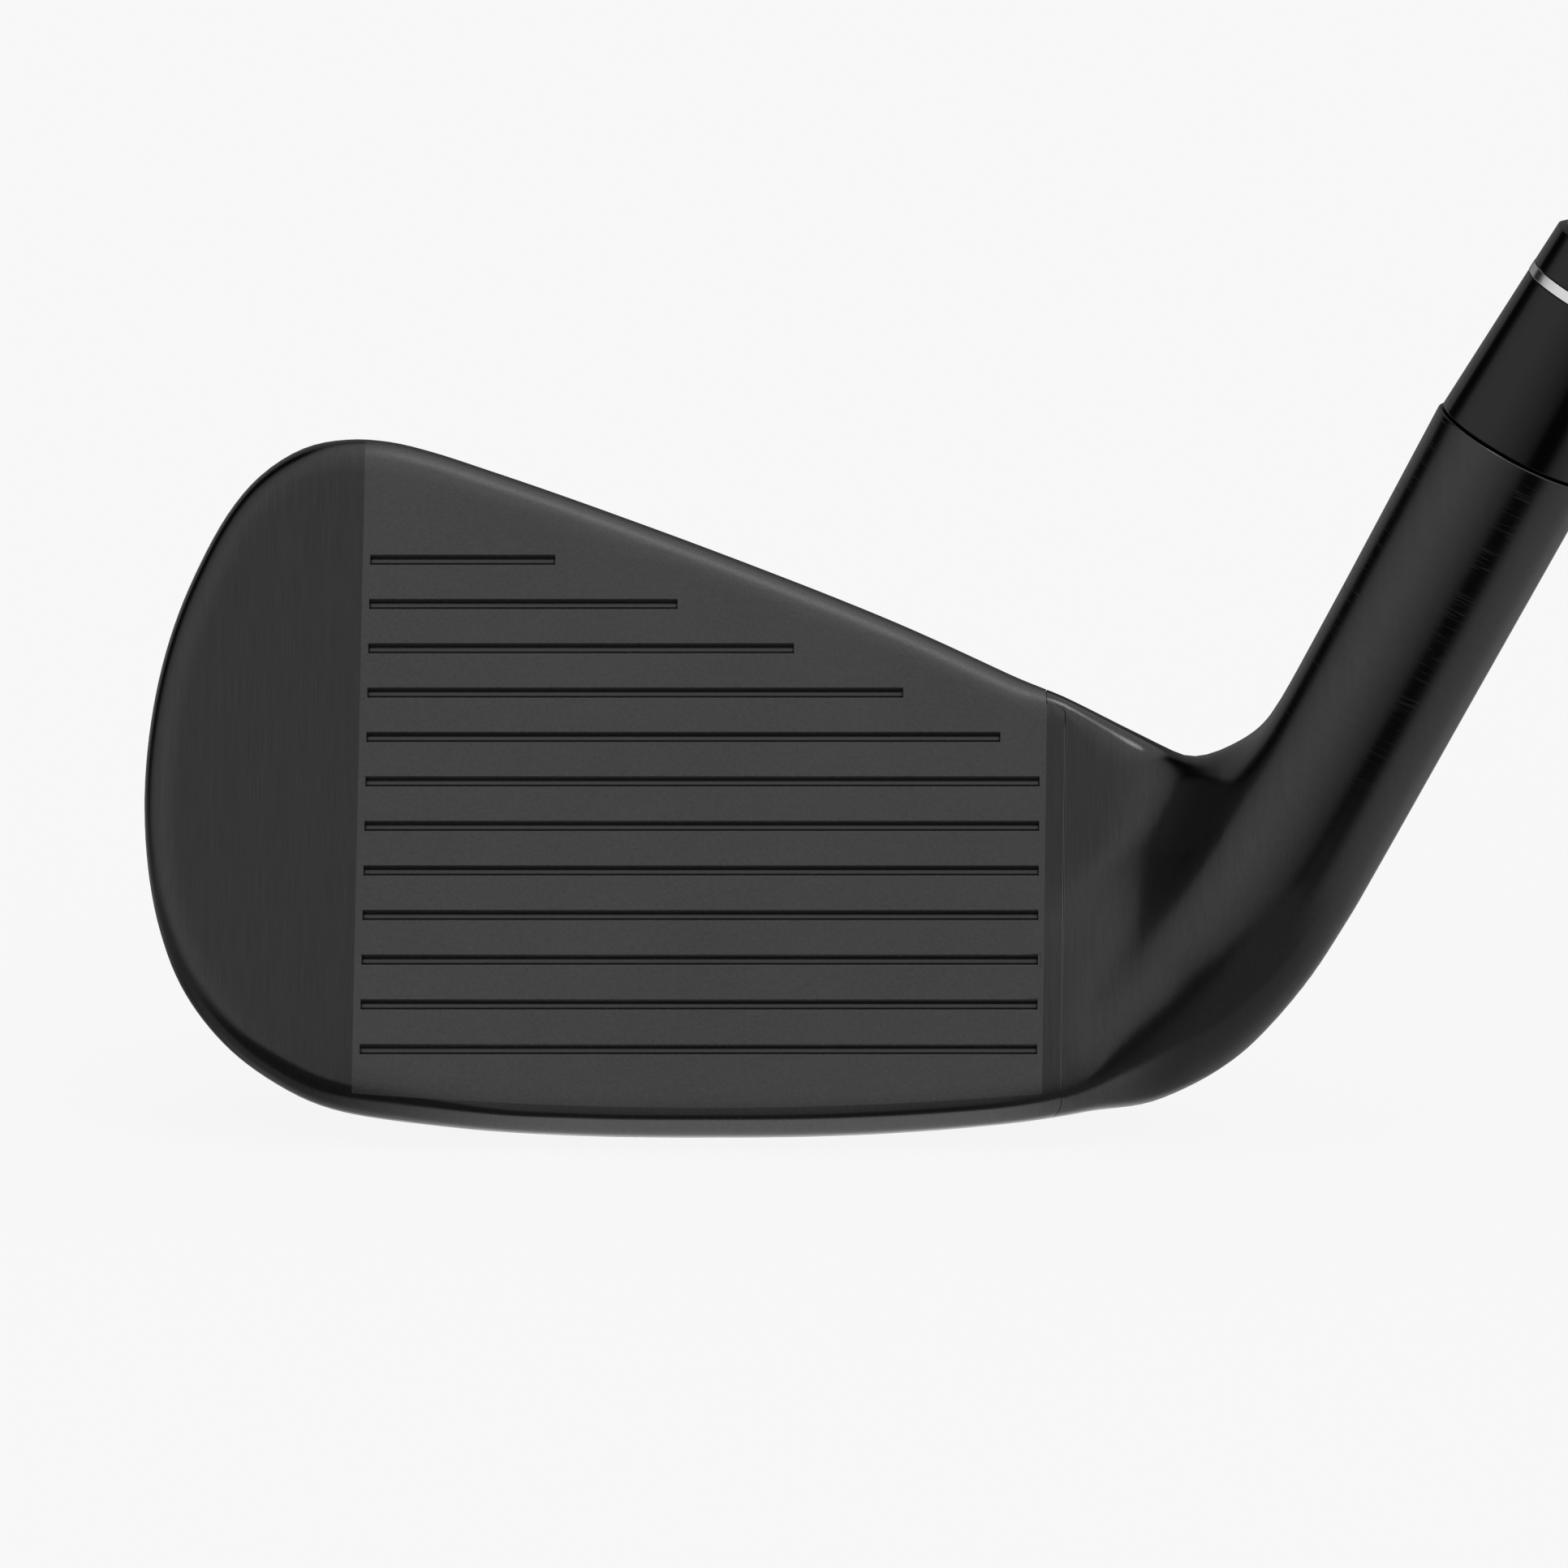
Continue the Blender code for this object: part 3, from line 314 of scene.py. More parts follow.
def cubic_weights(t):
    return (((-0.5 * t + 1) * t - 0.5) * t, (1.5 * t - 2.5) * t * t + 1,
            ((-1.5 * t + 2) * t + 0.5) * t, (0.5 * t - 0.5) * t * t)


def blurred_field(points):
    place = np.clip((points - BLUR_FROM) / BLUR_CELL, 1.001, np.array(BLUR_SIZE) - 3.001)
    cell = place.astype(int)
    in_x, in_y, in_z = (cubic_weights((place - cell)[:, axis]) for axis in range(3))
    field = np.zeros(len(points))
    for i in range(4):
        for j in range(4):
            for k in range(4):
                table = BLURRED[cell[:, 0] + i - 1, cell[:, 1] + j - 1, cell[:, 2] + k - 1]
                field += in_x[i] * in_y[j] * in_z[k] * table
    return field


# where the blurred field takes over: an egg round the join of blade and hosel
EGG_CENTRE, EGG_STRETCH = np.array([44.5, 1.0, 31.0]), np.array([1.25, 1.1, 1.15])


def head_field(points):
    flat = points.reshape(-1, 3)
    field = sharp_field(flat)
    offset = (flat - EGG_CENTRE) / EGG_STRETCH
    share = 1 - ease(np.sqrt((offset**2).sum(-1)), 6.0, 15.0)
    near = share > 0
    if near.any():
        field[near] += (blurred_field(flat[near]) - 0.3 - field[near]) * share[near]
    return field.reshape(points.shape[:-1])


# ---------------------------------------------------------------- the head's rings
FAN_X, FAN_PIVOT = 40.5, (40.5, 36.5)   # the rings turn about the pivot (x, z) into the hosel
# Ring centres at stations across the blade: height up the face, and depth behind it
CENTRE_UP = ([-38, -30, 0, 30, 41], [29.5, 30, 30, 25, 19, 17.5])
CENTRE_BEHIND = ([-30, 0, 30, 40.5], [3.4, 3.6, 3.8, 3.4, 3.2])


def spine(toe, blade_count, fan, hosel):
    """Ring centres from toe to hosel top, and the second direction of each ring's plane."""
    tip = LOOP[:, 0].min()
    stations = [tip + 0.012 + 9.0 * (i / toe) ** 2 for i in range(1, toe + 1)]
    stations += list(np.linspace(stations[-1], FAN_X, blade_count + 1)[1:])
    centres, directions = [], []
    for x in stations:
        up = np.interp(x, [tip, *CENTRE_UP[0]], CENTRE_UP[1])
        behind = np.interp(x, [tip, *CENTRE_BEHIND[0]], CENTRE_BEHIND[1])
        centres.append((x, FACE_FOOT_Y + up * SIN_LOFT + behind * COS_LOFT,
                        up * COS_LOFT - behind * SIN_LOFT))
        directions.append((0.0, 0.0, 1.0))
    last, pivot = np.array(centres[-1]), np.array(FAN_PIVOT)
    offset = pivot - np.array([AXIS_X, 0.0])
    first_r = pivot[1] - last[2]
    last_r = abs(offset[0] * SIN_LIE - offset[1] * COS_LIE)
    foot = offset @ np.array([COS_LIE, SIN_LIE])
    for k in range(1, fan + 1):
        t = k / fan
        angle = radians(-90 + LIE_DEG * t)
        radius = first_r + (last_r - first_r) * t * t * (3 - 2 * t)
        at = pivot + radius * np.array([cos(angle), sin(angle)])
        centres.append((at[0], last[1] + (AXIS_Y - last[1]) * (1 - (1 - t) ** 1.6), at[1]))
        directions.append((-cos(angle), 0.0, -sin(angle)))
    for k in range(1, hosel + 1):
        centres.append(axis_point(foot + (HOSEL_TOP - foot) * k / hosel))
        directions.append(tuple(ACROSS_AXIS))
    return np.array(centres, float), np.array(directions, float)


def cast(centres, directions, angles):
    """Marches rays out from the ring centres to the surface, then halves in on it."""
    rays = (np.cos(angles)[..., None] * np.array([0, 1.0, 0])
            + np.sin(angles)[..., None] * directions[:, None, :])
    origins = np.broadcast_to(centres[:, None, :], rays.shape).reshape(-1, 3)
    rays = rays.reshape(-1, 3)
    reach, low = np.zeros(len(rays)), np.zeros(len(rays))
    live = np.arange(len(rays))
    for _ in range(60):
        field = head_field(origins[live] + rays[live] * reach[live, None])
        still_in = field < -1e-4
        live, field = live[still_in], field[still_in]
        if not len(live):
            break
        low[live] = reach[live]
        reach[live] += np.maximum(-field * 0.8, 2e-3)
    high = reach.copy()
    for _ in range(20):
        middle = (low + high) / 2
        inside = head_field(origins + rays * middle[:, None]) < 0
        low, high = np.where(inside, middle, low), np.where(inside, high, middle)
    return (origins + rays * ((low + high) / 2)[:, None]).reshape(*angles.shape, 3)


def smooth_along(rows):
    """Evens out neighbouring rings in place, keeping the first and last."""
    for _ in range(3):
        rows[1:-1] = (rows[:-2] + 2 * rows[1:-1] + rows[2:]) / 4


def head_rings(around, **counts):
    """Rings of surface points, closer together where the section turns."""
    centres, directions = spine(**counts)
    count = len(centres)
    even = np.linspace(0, 2 * pi, 180, endpoint=False)
    probe = cast(centres, directions, np.tile(even, (count, 1)))
    step = np.roll(probe, -1, 1) - probe
    size = np.linalg.norm(step, axis=2)
    unit = step / np.maximum(size[..., None], 1e-9)
    turn = np.arccos(np.clip((unit * np.roll(unit, 1, 1)).sum(2), -1, 1))
    turn = (turn + np.roll(turn, -1, 1)) / 2
    weight = size / size.sum(1, keepdims=True) + 2.2 * turn / turn.sum(1, keepdims=True)
    for _ in range(3):
        weight = (weight + np.roll(weight, 1, 1) + np.roll(weight, -1, 1)) / 3
    smooth_along(weight)
    total = np.concatenate([np.zeros((count, 1)), np.cumsum(weight, 1)], 1)
    total /= total[:, -1:]
    angles = np.array([np.interp(np.arange(around) / around, row, np.linspace(0, 2 * pi, 181))
                       for row in total])
    smooth_along(angles)
    return cast(centres, directions, angles)


# ---------------------------------------------------------------- mesh helpers
def new_collection(name):
    collection = bpy.data.collections.new(name)
    bpy.context.scene.collection.children.link(collection)
    return collection


LOOKS = new_collection("looks")
TOOLS = new_collection("tools")     # cutters, removed at the end


def new_object(name, mesh, where=LOOKS, matrix=None):
    piece = bpy.data.objects.new(name, mesh)
    where.objects.link(piece)
    if matrix is not None:
        mesh.transform(matrix)
    return piece


def from_rings(name, stacks, close_ends=True, where=LOOKS, matrix=None):
    """Lofts through stacks of closed rings. Without ends, the last ring joins the first."""
    verts, faces = [], []
    for rings in stacks:
        base = len(verts)
        count, around = rings.shape[:2]
        verts += (rings.reshape(-1, 3) * MM).tolist()
        for i in range(count - 1 if close_ends else count):
            row, row2 = base + i * around, base + (i + 1) % count * around
            for j in range(around):
                k = (j + 1) % around
                faces.append((row + j, row + k, row2 + k, row2 + j))
        if close_ends:
            faces.append(tuple(range(base, base + around))[::-1])
            faces.append(tuple(range(base + (count - 1) * around, base + count * around)))
    mesh = bpy.data.meshes.new(name)
    mesh.from_pydata(verts, [], faces)
    work = bmesh.new()
    work.from_mesh(mesh)
    bmesh.ops.recalc_face_normals(work, faces=work.faces)
    work.to_mesh(mesh)
    work.free()
    return new_object(name, mesh, where, matrix)


def turned(name, profile, seg, where=LOOKS, matrix=SHAFT, ring=False):
    """A profile of (radius, height) turned about Z. A ring profile is a closed loop."""
    angles = np.linspace(0, 2 * pi, seg, endpoint=False)
    line = np.array([(max(radius, 1e-4), height) for radius, height in profile])
    rings = np.stack([line[:, :1] * np.cos(angles), line[:, :1] * np.sin(angles),
                      np.repeat(line[:, 1:], seg, 1)], -1)
    return from_rings(name, [rings], close_ends=not ring, where=where, matrix=matrix)


def rounded(points, radii, steps, closed=True):
    """A polyline with curved corners. radii is one setback, or one for each corner."""
    corners = [np.array(point, float) for point in points]
    count, line = len(corners), []
    for i, corner in enumerate(corners):
        radius = radii[i] if isinstance(radii, list) else radii
        if radius <= 0 or (not closed and i in (0, count - 1)):
            line.append(tuple(corner))
            continue
        back, ahead = corners[i - 1] - corner, corners[(i + 1) % count] - corner
        back_size, ahead_size = np.linalg.norm(back), np.linalg.norm(ahead)
        setback = min(radius, back_size * 0.48, ahead_size * 0.48)
        start, end = corner + back / back_size * setback, corner + ahead / ahead_size * setback
        for k in range(steps + 1):
            t = k / steps
            line.append(tuple((1 - t) ** 2 * start + 2 * t * (1 - t) * corner + t * t * end))
    return line


def inset(points, distance):
    """The outline moved inwards by a distance."""
    line = np.array(points, float)
    area = 0.5 * np.sum(line[:, 0] * np.roll(line[:, 1], -1)
                        - np.roll(line[:, 0], -1) * line[:, 1])
    side = 1.0 if area > 0 else -1.0
    moved = []
    for i in range(len(line)):
        edges = line[i] - line[i - 1], line[(i + 1) % len(line)] - line[i]
        before, after = (side * np.array([-edge[1], edge[0]]) / np.linalg.norm(edge)
                         for edge in edges)
        moved.append(tuple(line[i] + (before + after) * distance / (1 + before @ after)))
    return moved


def layered(name, points, levels, where=LOOKS, matrix=FACE):
    """An outline carried through levels of (inset, height) along local Z."""
    rings = []
    for distance, height in levels:
        line = np.array(inset(points, distance) if distance else points, float)
        rings.append(np.column_stack([line, np.full(len(line), height)]))
    return from_rings(name, [np.array(rings)], where=where, matrix=matrix)


def prism_cutter(name, points, low, high, matrix=FACE):
    return layered(name, points, [(0.0, low), (0.0, high)], TOOLS, matrix)


def boolean(target, cutters, operation="DIFFERENCE"):
    """Applies the booleans and leaves the result in the target's mesh."""
    for cutter in cutters:
        modifier = target.modifiers.new("cut", "BOOLEAN")
        modifier.operation, modifier.solver, modifier.object = operation, "EXACT", cutter
    bpy.context.view_layer.update()
    graph = bpy.context.evaluated_depsgraph_get()
    result = bpy.data.meshes.new_from_object(target.evaluated_get(graph))
    target.modifiers.clear()
    old = target.data
    target.data = result
    bpy.data.meshes.remove(old)


def set_material(piece, slot):
    piece.data.materials.clear()
    piece.data.materials.append(MATERIALS[slot])


def finish_piece(piece, sharp_deg, slot, node):
    piece.data.shade_smooth()
    piece.data.set_sharp_from_angle(angle=radians(sharp_deg))
    set_material(piece, slot)
    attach(piece, "root")
    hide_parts(node)


# ---------------------------------------------------------------- node helpers
class Value:
    """A number from a node. Arithmetic on it adds Math nodes to its tree."""

    def __init__(self, nodes, socket):
        self.nodes, self.socket = nodes, socket

    def __add__(self, other):
        return self.nodes.math("ADD", self, other)

    def __radd__(self, other):
        return self.nodes.math("ADD", other, self)

    def __sub__(self, other):
        return self.nodes.math("SUBTRACT", self, other)

    def __rsub__(self, other):
        return self.nodes.math("SUBTRACT", other, self)

    def __mul__(self, other):
        return self.nodes.math("MULTIPLY", self, other)

    def __rmul__(self, other):
        return self.nodes.math("MULTIPLY", other, self)

    def __truediv__(self, other):
        return self.nodes.math("DIVIDE", self, other)


class Nodes:
    """Short calls that build the node tree of a material or world."""

    def __init__(self, owner, spare=0.0):
        owner.use_nodes = True
        self.tree = owner.node_tree
        self.tree.nodes.clear()
        self.spare = spare      # what the inputs hold that a Math node doesn't use

    def put(self, value, socket):
        if isinstance(value, Value):
            value = value.socket
        if isinstance(value, bpy.types.NodeSocket):
            self.tree.links.new(value, socket)
        else:
            socket.default_value = value

    def node(self, kind, *inputs, named={}, **properties):
        """A node with its first inputs set in order, and others by name."""
        node = self.tree.nodes.new(kind)
        for key, value in properties.items():
            setattr(node, key, value)
        for key, value in [*enumerate(inputs), *named.items()]:
            self.put(value, node.inputs[key])
        return node

    def shader(self, kind, *inputs, **options):
        return self.node(kind, *inputs, **options).outputs[0]

    def value(self, kind, *inputs, output=0, **options):
        return Value(self, self.node(kind, *inputs, **options).outputs[output])

    def math(self, operation, *terms):
        terms += (self.spare,) * (3 - len(terms))
        return self.value("ShaderNodeMath", *terms, operation=operation)

    def dot(self, vector, direction):
        return self.value("ShaderNodeVectorMath", vector, tuple(direction), output="Value",
                          operation="DOT_PRODUCT")

    def step(self, value, over, low=0.0, high=1.0):
        """Eases from low to high while the value crosses a span."""
        return self.value("ShaderNodeMapRange", value, *over, low, high,
                          interpolation_type="SMOOTHSTEP")

    def ramp(self, value, low, high, over=(0.3, 0.7)):
        """A straight ramp from low to high. The usual span is the busy middle of a noise."""
        return self.value("ShaderNodeMapRange", value, *over, low, high,
                          interpolation_type="LINEAR")

    def mix(self, share, first, second):
        return self.math("MULTIPLY_ADD", share, self.math("SUBTRACT", second, first), first)


class Surface(Nodes):
    """A material with one Principled shader, textured in object space."""

    def __init__(self, name):
        self.material = bpy.data.materials.new(name)
        super().__init__(self.material)
        self.principled = self.node("ShaderNodeBsdfPrincipled")
        self.node("ShaderNodeOutputMaterial", self.principled.outputs[0])
        self.coord = self.node("ShaderNodeTexCoord").outputs["Object"]

    def scaled(self, parts, scales):
        """A vector of the parts, each times its scale."""
        products = [self.math("MULTIPLY", part, scale) for part, scale in zip(parts, scales)]
        return self.shader("ShaderNodeCombineXYZ", *products)

    def grey(self, value, tint=(1, 1, 1)):
        return self.scaled((value,) * 3, tint)

    def noise(self, scale, detail, rough, vector=None):
        return self.value("ShaderNodeTexNoise", named={
            "Vector": vector or self.coord, "Scale": scale, "Detail": detail, "Roughness": rough})

    def lines(self, parts, per_mm, detail, rough):
        """Noise drawn out into lines by unequal rates along three coordinates."""
        return self.noise(1.0, detail, rough, self.scaled(parts, per_mm))

    def voronoi(self, scale):
        return self.value("ShaderNodeTexVoronoi", output="Distance",
                          named={"Vector": self.coord, "Scale": scale})

    def bump(self, height, strength, distance):
        """The distance is in metres."""
        return self.shader("ShaderNodeBump", named={
            "Strength": strength, "Distance": distance, "Height": height})

    def face_coords(self):
        """Across to the heel, up the face and out of it."""
        across = self.dot(self.coord, (1, 0, 0)) * 1000.0
        up = (self.dot(self.coord, (0, SIN_LOFT, COS_LOFT)) * 1000.0
              + -FACE_FOOT_Y * SIN_LOFT)
        out = (self.dot(self.coord, (0, -COS_LOFT, SIN_LOFT)) * 1000.0
               + FACE_FOOT_Y * COS_LOFT)
        return across, up, out

    def axis_coords(self):
        """Height along the shaft, and the two directions across it."""
        along = self.dot(self.coord, AXIS) * 1000.0 - float(AXIS_X * COS_LIE)
        side = self.dot(self.coord, ACROSS_AXIS) * 1000.0 - float(-AXIS_X * SIN_LIE)
        back = self.dot(self.coord, (0, 1, 0)) * 1000.0 - AXIS_Y
        return along, side, back

    def finish(self, color, rough, metal, normal, **others):
        names = {"ior": "IOR", "spec": "Specular IOR Level", "sheen": "Sheen Weight"}
        values = {"Base Color": color, "Roughness": rough, "Metallic": metal, "Normal": normal}
        values.update({names[key]: value for key, value in others.items()})
        for key, value in values.items():
            self.put(value, self.principled.inputs[key])
        return self.material


# ---------------------------------------------------------------- materials
FINE_RELIEF = 0.00002       # bump distance of brushing and lathe lines, in metres


def line_mask(mat, across, up, start, end, soft=0.05):
    """1 on the left of the line from start to end, 0 on the right."""
    (x0, y0), (x1, y1) = start, end
    length = ((x1 - x0) ** 2 + (y1 - y0) ** 2) ** 0.5
    normal_x, normal_y = -(y1 - y0) / length, (x1 - x0) / length
    distance = across * normal_x + up * normal_y + -(normal_x * x0 + normal_y * y0)
    return mat.step(distance, over=(-soft, soft))


def blasted_zone(mat, across, up):
    """1 between the score-line limits and above the curve along the foot of the face."""
    foot_height, foot_bend = 4.1, 1.18 / 730.0
    foot_curve = foot_height + across * across * foot_bend
    zone = 1.0 - line_mask(mat, across, up, start=(-28.17, 5.28), end=(-27.39, 57.8))
    zone = zone * line_mask(mat, across, up, start=(26.49, 5.28), end=(27.0, 37.9))
    return zone * mat.step(up - foot_curve, over=(-0.05, 0.05))


def head_material(name, blasted):
    """Satin black cast steel, brushed; the face also has a blasted zone."""
    mat = Surface(name)
    across, up, out = mat.face_coords()
    round_axis = along, _, _ = mat.axis_coords()
    # brushing up the face on the blade, and round the hosel above the heel
    on_face = across, up, out
    up_lines = mat.lines(on_face, per_mm=(17.0, 0.25, 6.0), detail=3.0, rough=0.65)
    wide_lines = mat.lines(on_face, per_mm=(2.2, 0.05, 1.5), detail=2.0, rough=0.6)
    ring_lines = mat.lines(round_axis, per_mm=(7.0, 0.22, 0.22), detail=3.0, rough=0.65)
    on_hosel = mat.step(along, over=(30.0, 42.0))
    lines = mat.mix(on_hosel, up_lines, ring_lines)
    grain = mat.noise(scale=5200.0, detail=2.0, rough=0.6)
    patches = mat.noise(scale=90.0, detail=3.0, rough=0.55)
    line_rough = mat.ramp(lines, low=0.13, high=0.22)
    rough = mat.mix(0.5, line_rough, mat.ramp(patches, low=0.15, high=0.19))
    colour = mat.ramp(wide_lines, low=0.0485, high=0.053, over=(0.25, 0.75))
    height = lines * 0.9 + grain * 0.1
    streaks = mat.ramp(lines, low=-0.007, high=0.007)
    colour = colour + streaks * mat.ramp(on_hosel, low=1.0, high=0.3, over=(0.0, 1.0))
    # painted highlight along both edges of the weld hairline, which leans a little: a lighter
    # line standing in for light caught on the seam
    seam_foot, seam_lean, seam_highlight_colour = 5.0, 0.0146, 0.115
    off_seam = mat.math("ABSOLUTE", across - SEAM_X - (up - seam_foot) * seam_lean)
    above = mat.step(up, over=(5.0, 6.0))
    below = mat.step(up, over=(34.6, 35.6), low=1.0, high=0.0)
    bright_edge = mat.step(off_seam, over=(0.045, 0.085), low=1.0, high=0.0) * (above * below)
    bright_edge = bright_edge * mat.step(out, over=(-0.6, -0.3))
    # mix the painted seam highlight into the colour
    colour = mat.mix(bright_edge, colour, seam_highlight_colour)
    # hairline scratches round the hosel
    scratch = mat.lines(round_axis, per_mm=(8.0, 0.35, 0.35), detail=1.0, rough=0.5)
    scratch = mat.step(scratch, over=(0.60, 0.68)) * on_hosel
    rough = rough + scratch * 0.15
    strength = mat.ramp(on_hosel, low=0.16, high=0.18, over=(0.0, 1.0))
    brushed = mat.bump(height, strength, FINE_RELIEF)
    if not blasted:
        return mat.finish(color=mat.grey(colour, tint=(1, 1, 1.03)), rough=rough, metal=1.0,
                          normal=brushed)
    zone = blasted_zone(mat, across, up)
    blast = mat.noise(scale=3600.0, detail=3.0, rough=0.7)
    blast_height = blast + mat.voronoi(scale=3300.0) * 0.5
    blast_rough = mat.ramp(blast, low=0.36, high=0.47)
    blast_colour = (mat.ramp(patches, low=0.071, high=0.076)
                    + mat.ramp(blast, low=-0.006, high=0.008))
    pitted = mat.bump(blast_height, strength=0.35, distance=0.00003)
    mixed = mat.node("ShaderNodeMix", data_type="VECTOR", named={"Factor": zone})
    vectors = [socket for socket in mixed.inputs if socket.type == "VECTOR"]
    mat.put(brushed, vectors[-2])
    mat.put(pitted, vectors[-1])
    normal = [socket for socket in mixed.outputs if socket.type == "VECTOR"][0]
    return mat.finish(color=mat.grey(mat.mix(zone, colour, blast_colour), tint=(1, 1, 1.01)),
                      rough=mat.mix(zone, rough, blast_rough), metal=1.0, normal=normal)


def turned_metal(name, colour, rough, per_mm=9.0, strength=0.12, spread=0.05, tint=(1, 1, 1)):
    """Metal polished round the shaft axis: fine rings of lighter and darker lines."""
    mat = Surface(name)
    lines = mat.lines(mat.axis_coords(), per_mm=(per_mm, 0.15, 0.15), detail=3.0, rough=0.6)
    patches = mat.noise(scale=60.0, detail=3.0, rough=0.55)
    tone = colour * mat.ramp(patches, low=0.9, high=1.08)
    return mat.finish(color=mat.grey(tone, tint), metal=1.0,
                      rough=mat.ramp(lines, low=rough - spread, high=rough + spread),
                      normal=mat.bump(lines, strength, FINE_RELIEF))


def gloss_plastic(name, colour, rough):
    """Turned and buffed black plastic: faint lathe rings and a soft haze."""
    mat = Surface(name)
    rings = mat.lines(mat.axis_coords(), per_mm=(14.0, 0.1, 0.1), detail=2.0, rough=0.5)
    haze = mat.noise(scale=240.0, detail=3.0, rough=0.6)
    hazy = mat.ramp(haze, low=rough * 0.8, high=rough * 1.25)
    return mat.finish(color=mat.grey(mat.ramp(haze, low=colour * 0.9, high=colour * 1.1)),
                      rough=hazy + mat.ramp(rings, low=-0.01, high=0.015),
                      metal=0.0, ior=1.5, spec=0.36,
                      normal=mat.bump(rings, strength=0.05, distance=FINE_RELIEF))


def rubber(name, colour, rough, scale=1500.0, strength=0.5):
    """Matt moulded rubber with a fine grain and uneven tone."""
    mat = Surface(name)
    grain = mat.noise(scale, detail=4.0, rough=0.65)
    patches = mat.noise(scale=35.0, detail=4.0, rough=0.6)
    tone = (mat.ramp(grain, low=colour * 0.75, high=colour * 1.35, over=(0.25, 0.75))
            * mat.ramp(patches, low=0.85, high=1.18))
    return mat.finish(color=mat.grey(tone), metal=0.0, spec=0.35, sheen=0.08,
                      rough=mat.ramp(grain, low=rough - 0.07, high=rough + 0.07),
                      normal=mat.bump(grain, strength, distance=0.00006))


def cast_lump(name, colour, rough, scale, strength, metal=0.0, tint=(1, 1, 1)):
    """Poured or pressed stuff inside the club: cells, flow marks and uneven tone."""
    mat = Surface(name)
    cells = mat.voronoi(scale)
    flow = mat.noise(scale * 0.25, detail=4.0, rough=0.6)
    tone = colour * (mat.ramp(flow, low=0.82, high=1.08)
                     + mat.ramp(cells, low=-0.1, high=0.12, over=(0.0, 0.8)))
    return mat.finish(color=mat.grey(tone, tint), metal=metal,
                      rough=mat.ramp(flow, low=rough - 0.08, high=rough + 0.08),
                      normal=mat.bump(cells + flow, strength, distance=0.00008))


def tape_material():
    """Masking tape wound round the butt: paper fibres and the overlap of each turn."""
    mat = Surface("wound_masking_tape")
    along, side, back = mat.axis_coords()
    tape_width = 19.0
    angle = mat.math("ARCTAN2", side, back)
    turn = mat.math("FRACT", along / tape_width + angle * (1 / (2 * pi)))
    lap = mat.step(turn, over=(0.0, 0.04))
    fibres = mat.noise(scale=1400.0, detail=5.0, rough=0.7)
    crepe = mat.lines((along, side, back), per_mm=(1.6, 0.3, 0.3), detail=3.0, rough=0.6)
    tone = mat.ramp(fibres, low=0.60, high=0.76) * mat.mix(lap, 0.8, 1.0)
    return mat.finish(color=mat.grey(tone, tint=(1.04, 0.98, 0.82)), rough=0.85, metal=0.0,
                      normal=mat.bump(crepe + fibres + lap, strength=0.5, distance=0.00008))


def badge_material():
    """Dark aluminium, brushed along the badge, with edges brightened by wear."""
    mat = Surface("brushed_dark_aluminium")
    lines = mat.lines(mat.face_coords(), per_mm=(0.2, 10.0, 4.0), detail=3.0, rough=0.6)
    patches = mat.noise(scale=120.0, detail=3.0, rough=0.6)
    edges = mat.value("ShaderNodeNewGeometry", output="Pointiness")
    bright_edge = mat.step(edges, over=(0.52, 0.62))
    worn_colour = 0.36
    tone = mat.mix(bright_edge, mat.ramp(patches, low=0.13, high=0.17), worn_colour)
    return mat.finish(color=mat.grey(tone, tint=(1, 1, 1.03)), metal=1.0,
                      rough=mat.ramp(lines, low=0.24, high=0.40),
                      normal=mat.bump(lines, strength=0.2, distance=FINE_RELIEF))


MATERIALS = {
    "body_steel": head_material("brushed_black_steel", blasted=False),
    "face_steel": head_material("blasted_and_brushed_black_steel", blasted=True),
    "screw_steel": turned_metal("machined_black_screw", colour=0.06, rough=0.28),
    "seal_rubber": rubber("seal_rubber", colour=0.02, rough=0.65, scale=2500.0, strength=0.3),
    "ferrule_plastic": gloss_plastic("ferrule_black_plastic", colour=0.0016, rough=0.10),
    "ring_metal": turned_metal("polished_silver_ring", colour=0.72, rough=0.16, per_mm=12.0,
                               strength=0.10, spread=0.04),
    "shaft_steel": turned_metal("black_plated_shaft_steel", colour=0.060, rough=0.20,
                                per_mm=6.0, strength=0.08, spread=0.04, tint=(1, 1, 1.04)),
    "grip_rubber": rubber("black_grip_rubber", colour=0.020, rough=0.76),
    "cap_rubber": rubber("black_cap_rubber", colour=0.018, rough=0.62, scale=1800.0,
                         strength=0.35),
    "foam": cast_lump("cured_grey_foam", colour=0.42, rough=0.8, scale=900.0, strength=0.6,
                      tint=(1, 1, 0.96)),
    "tungsten": cast_lump("sintered_tungsten", colour=0.24, rough=0.42, scale=2600.0,
                          strength=0.3, metal=1.0),
    "epoxy": cast_lump("cured_epoxy_sleeve", colour=0.48, rough=0.35, scale=500.0,
                       strength=0.35, tint=(1.05, 0.96, 0.70)),
    "badge_pad": cast_lump("adhesive_pad_black", colour=0.09, rough=0.72, scale=1800.0,
                           strength=0.4),
    "pin_brass": turned_metal("turned_brass_pin", colour=0.55, rough=0.28, per_mm=5.0,
                              strength=0.15, spread=0.06, tint=(1.1, 0.84, 0.36)),
    "grip_tape": tape_material(),
    "badge_metal": badge_material(),
}

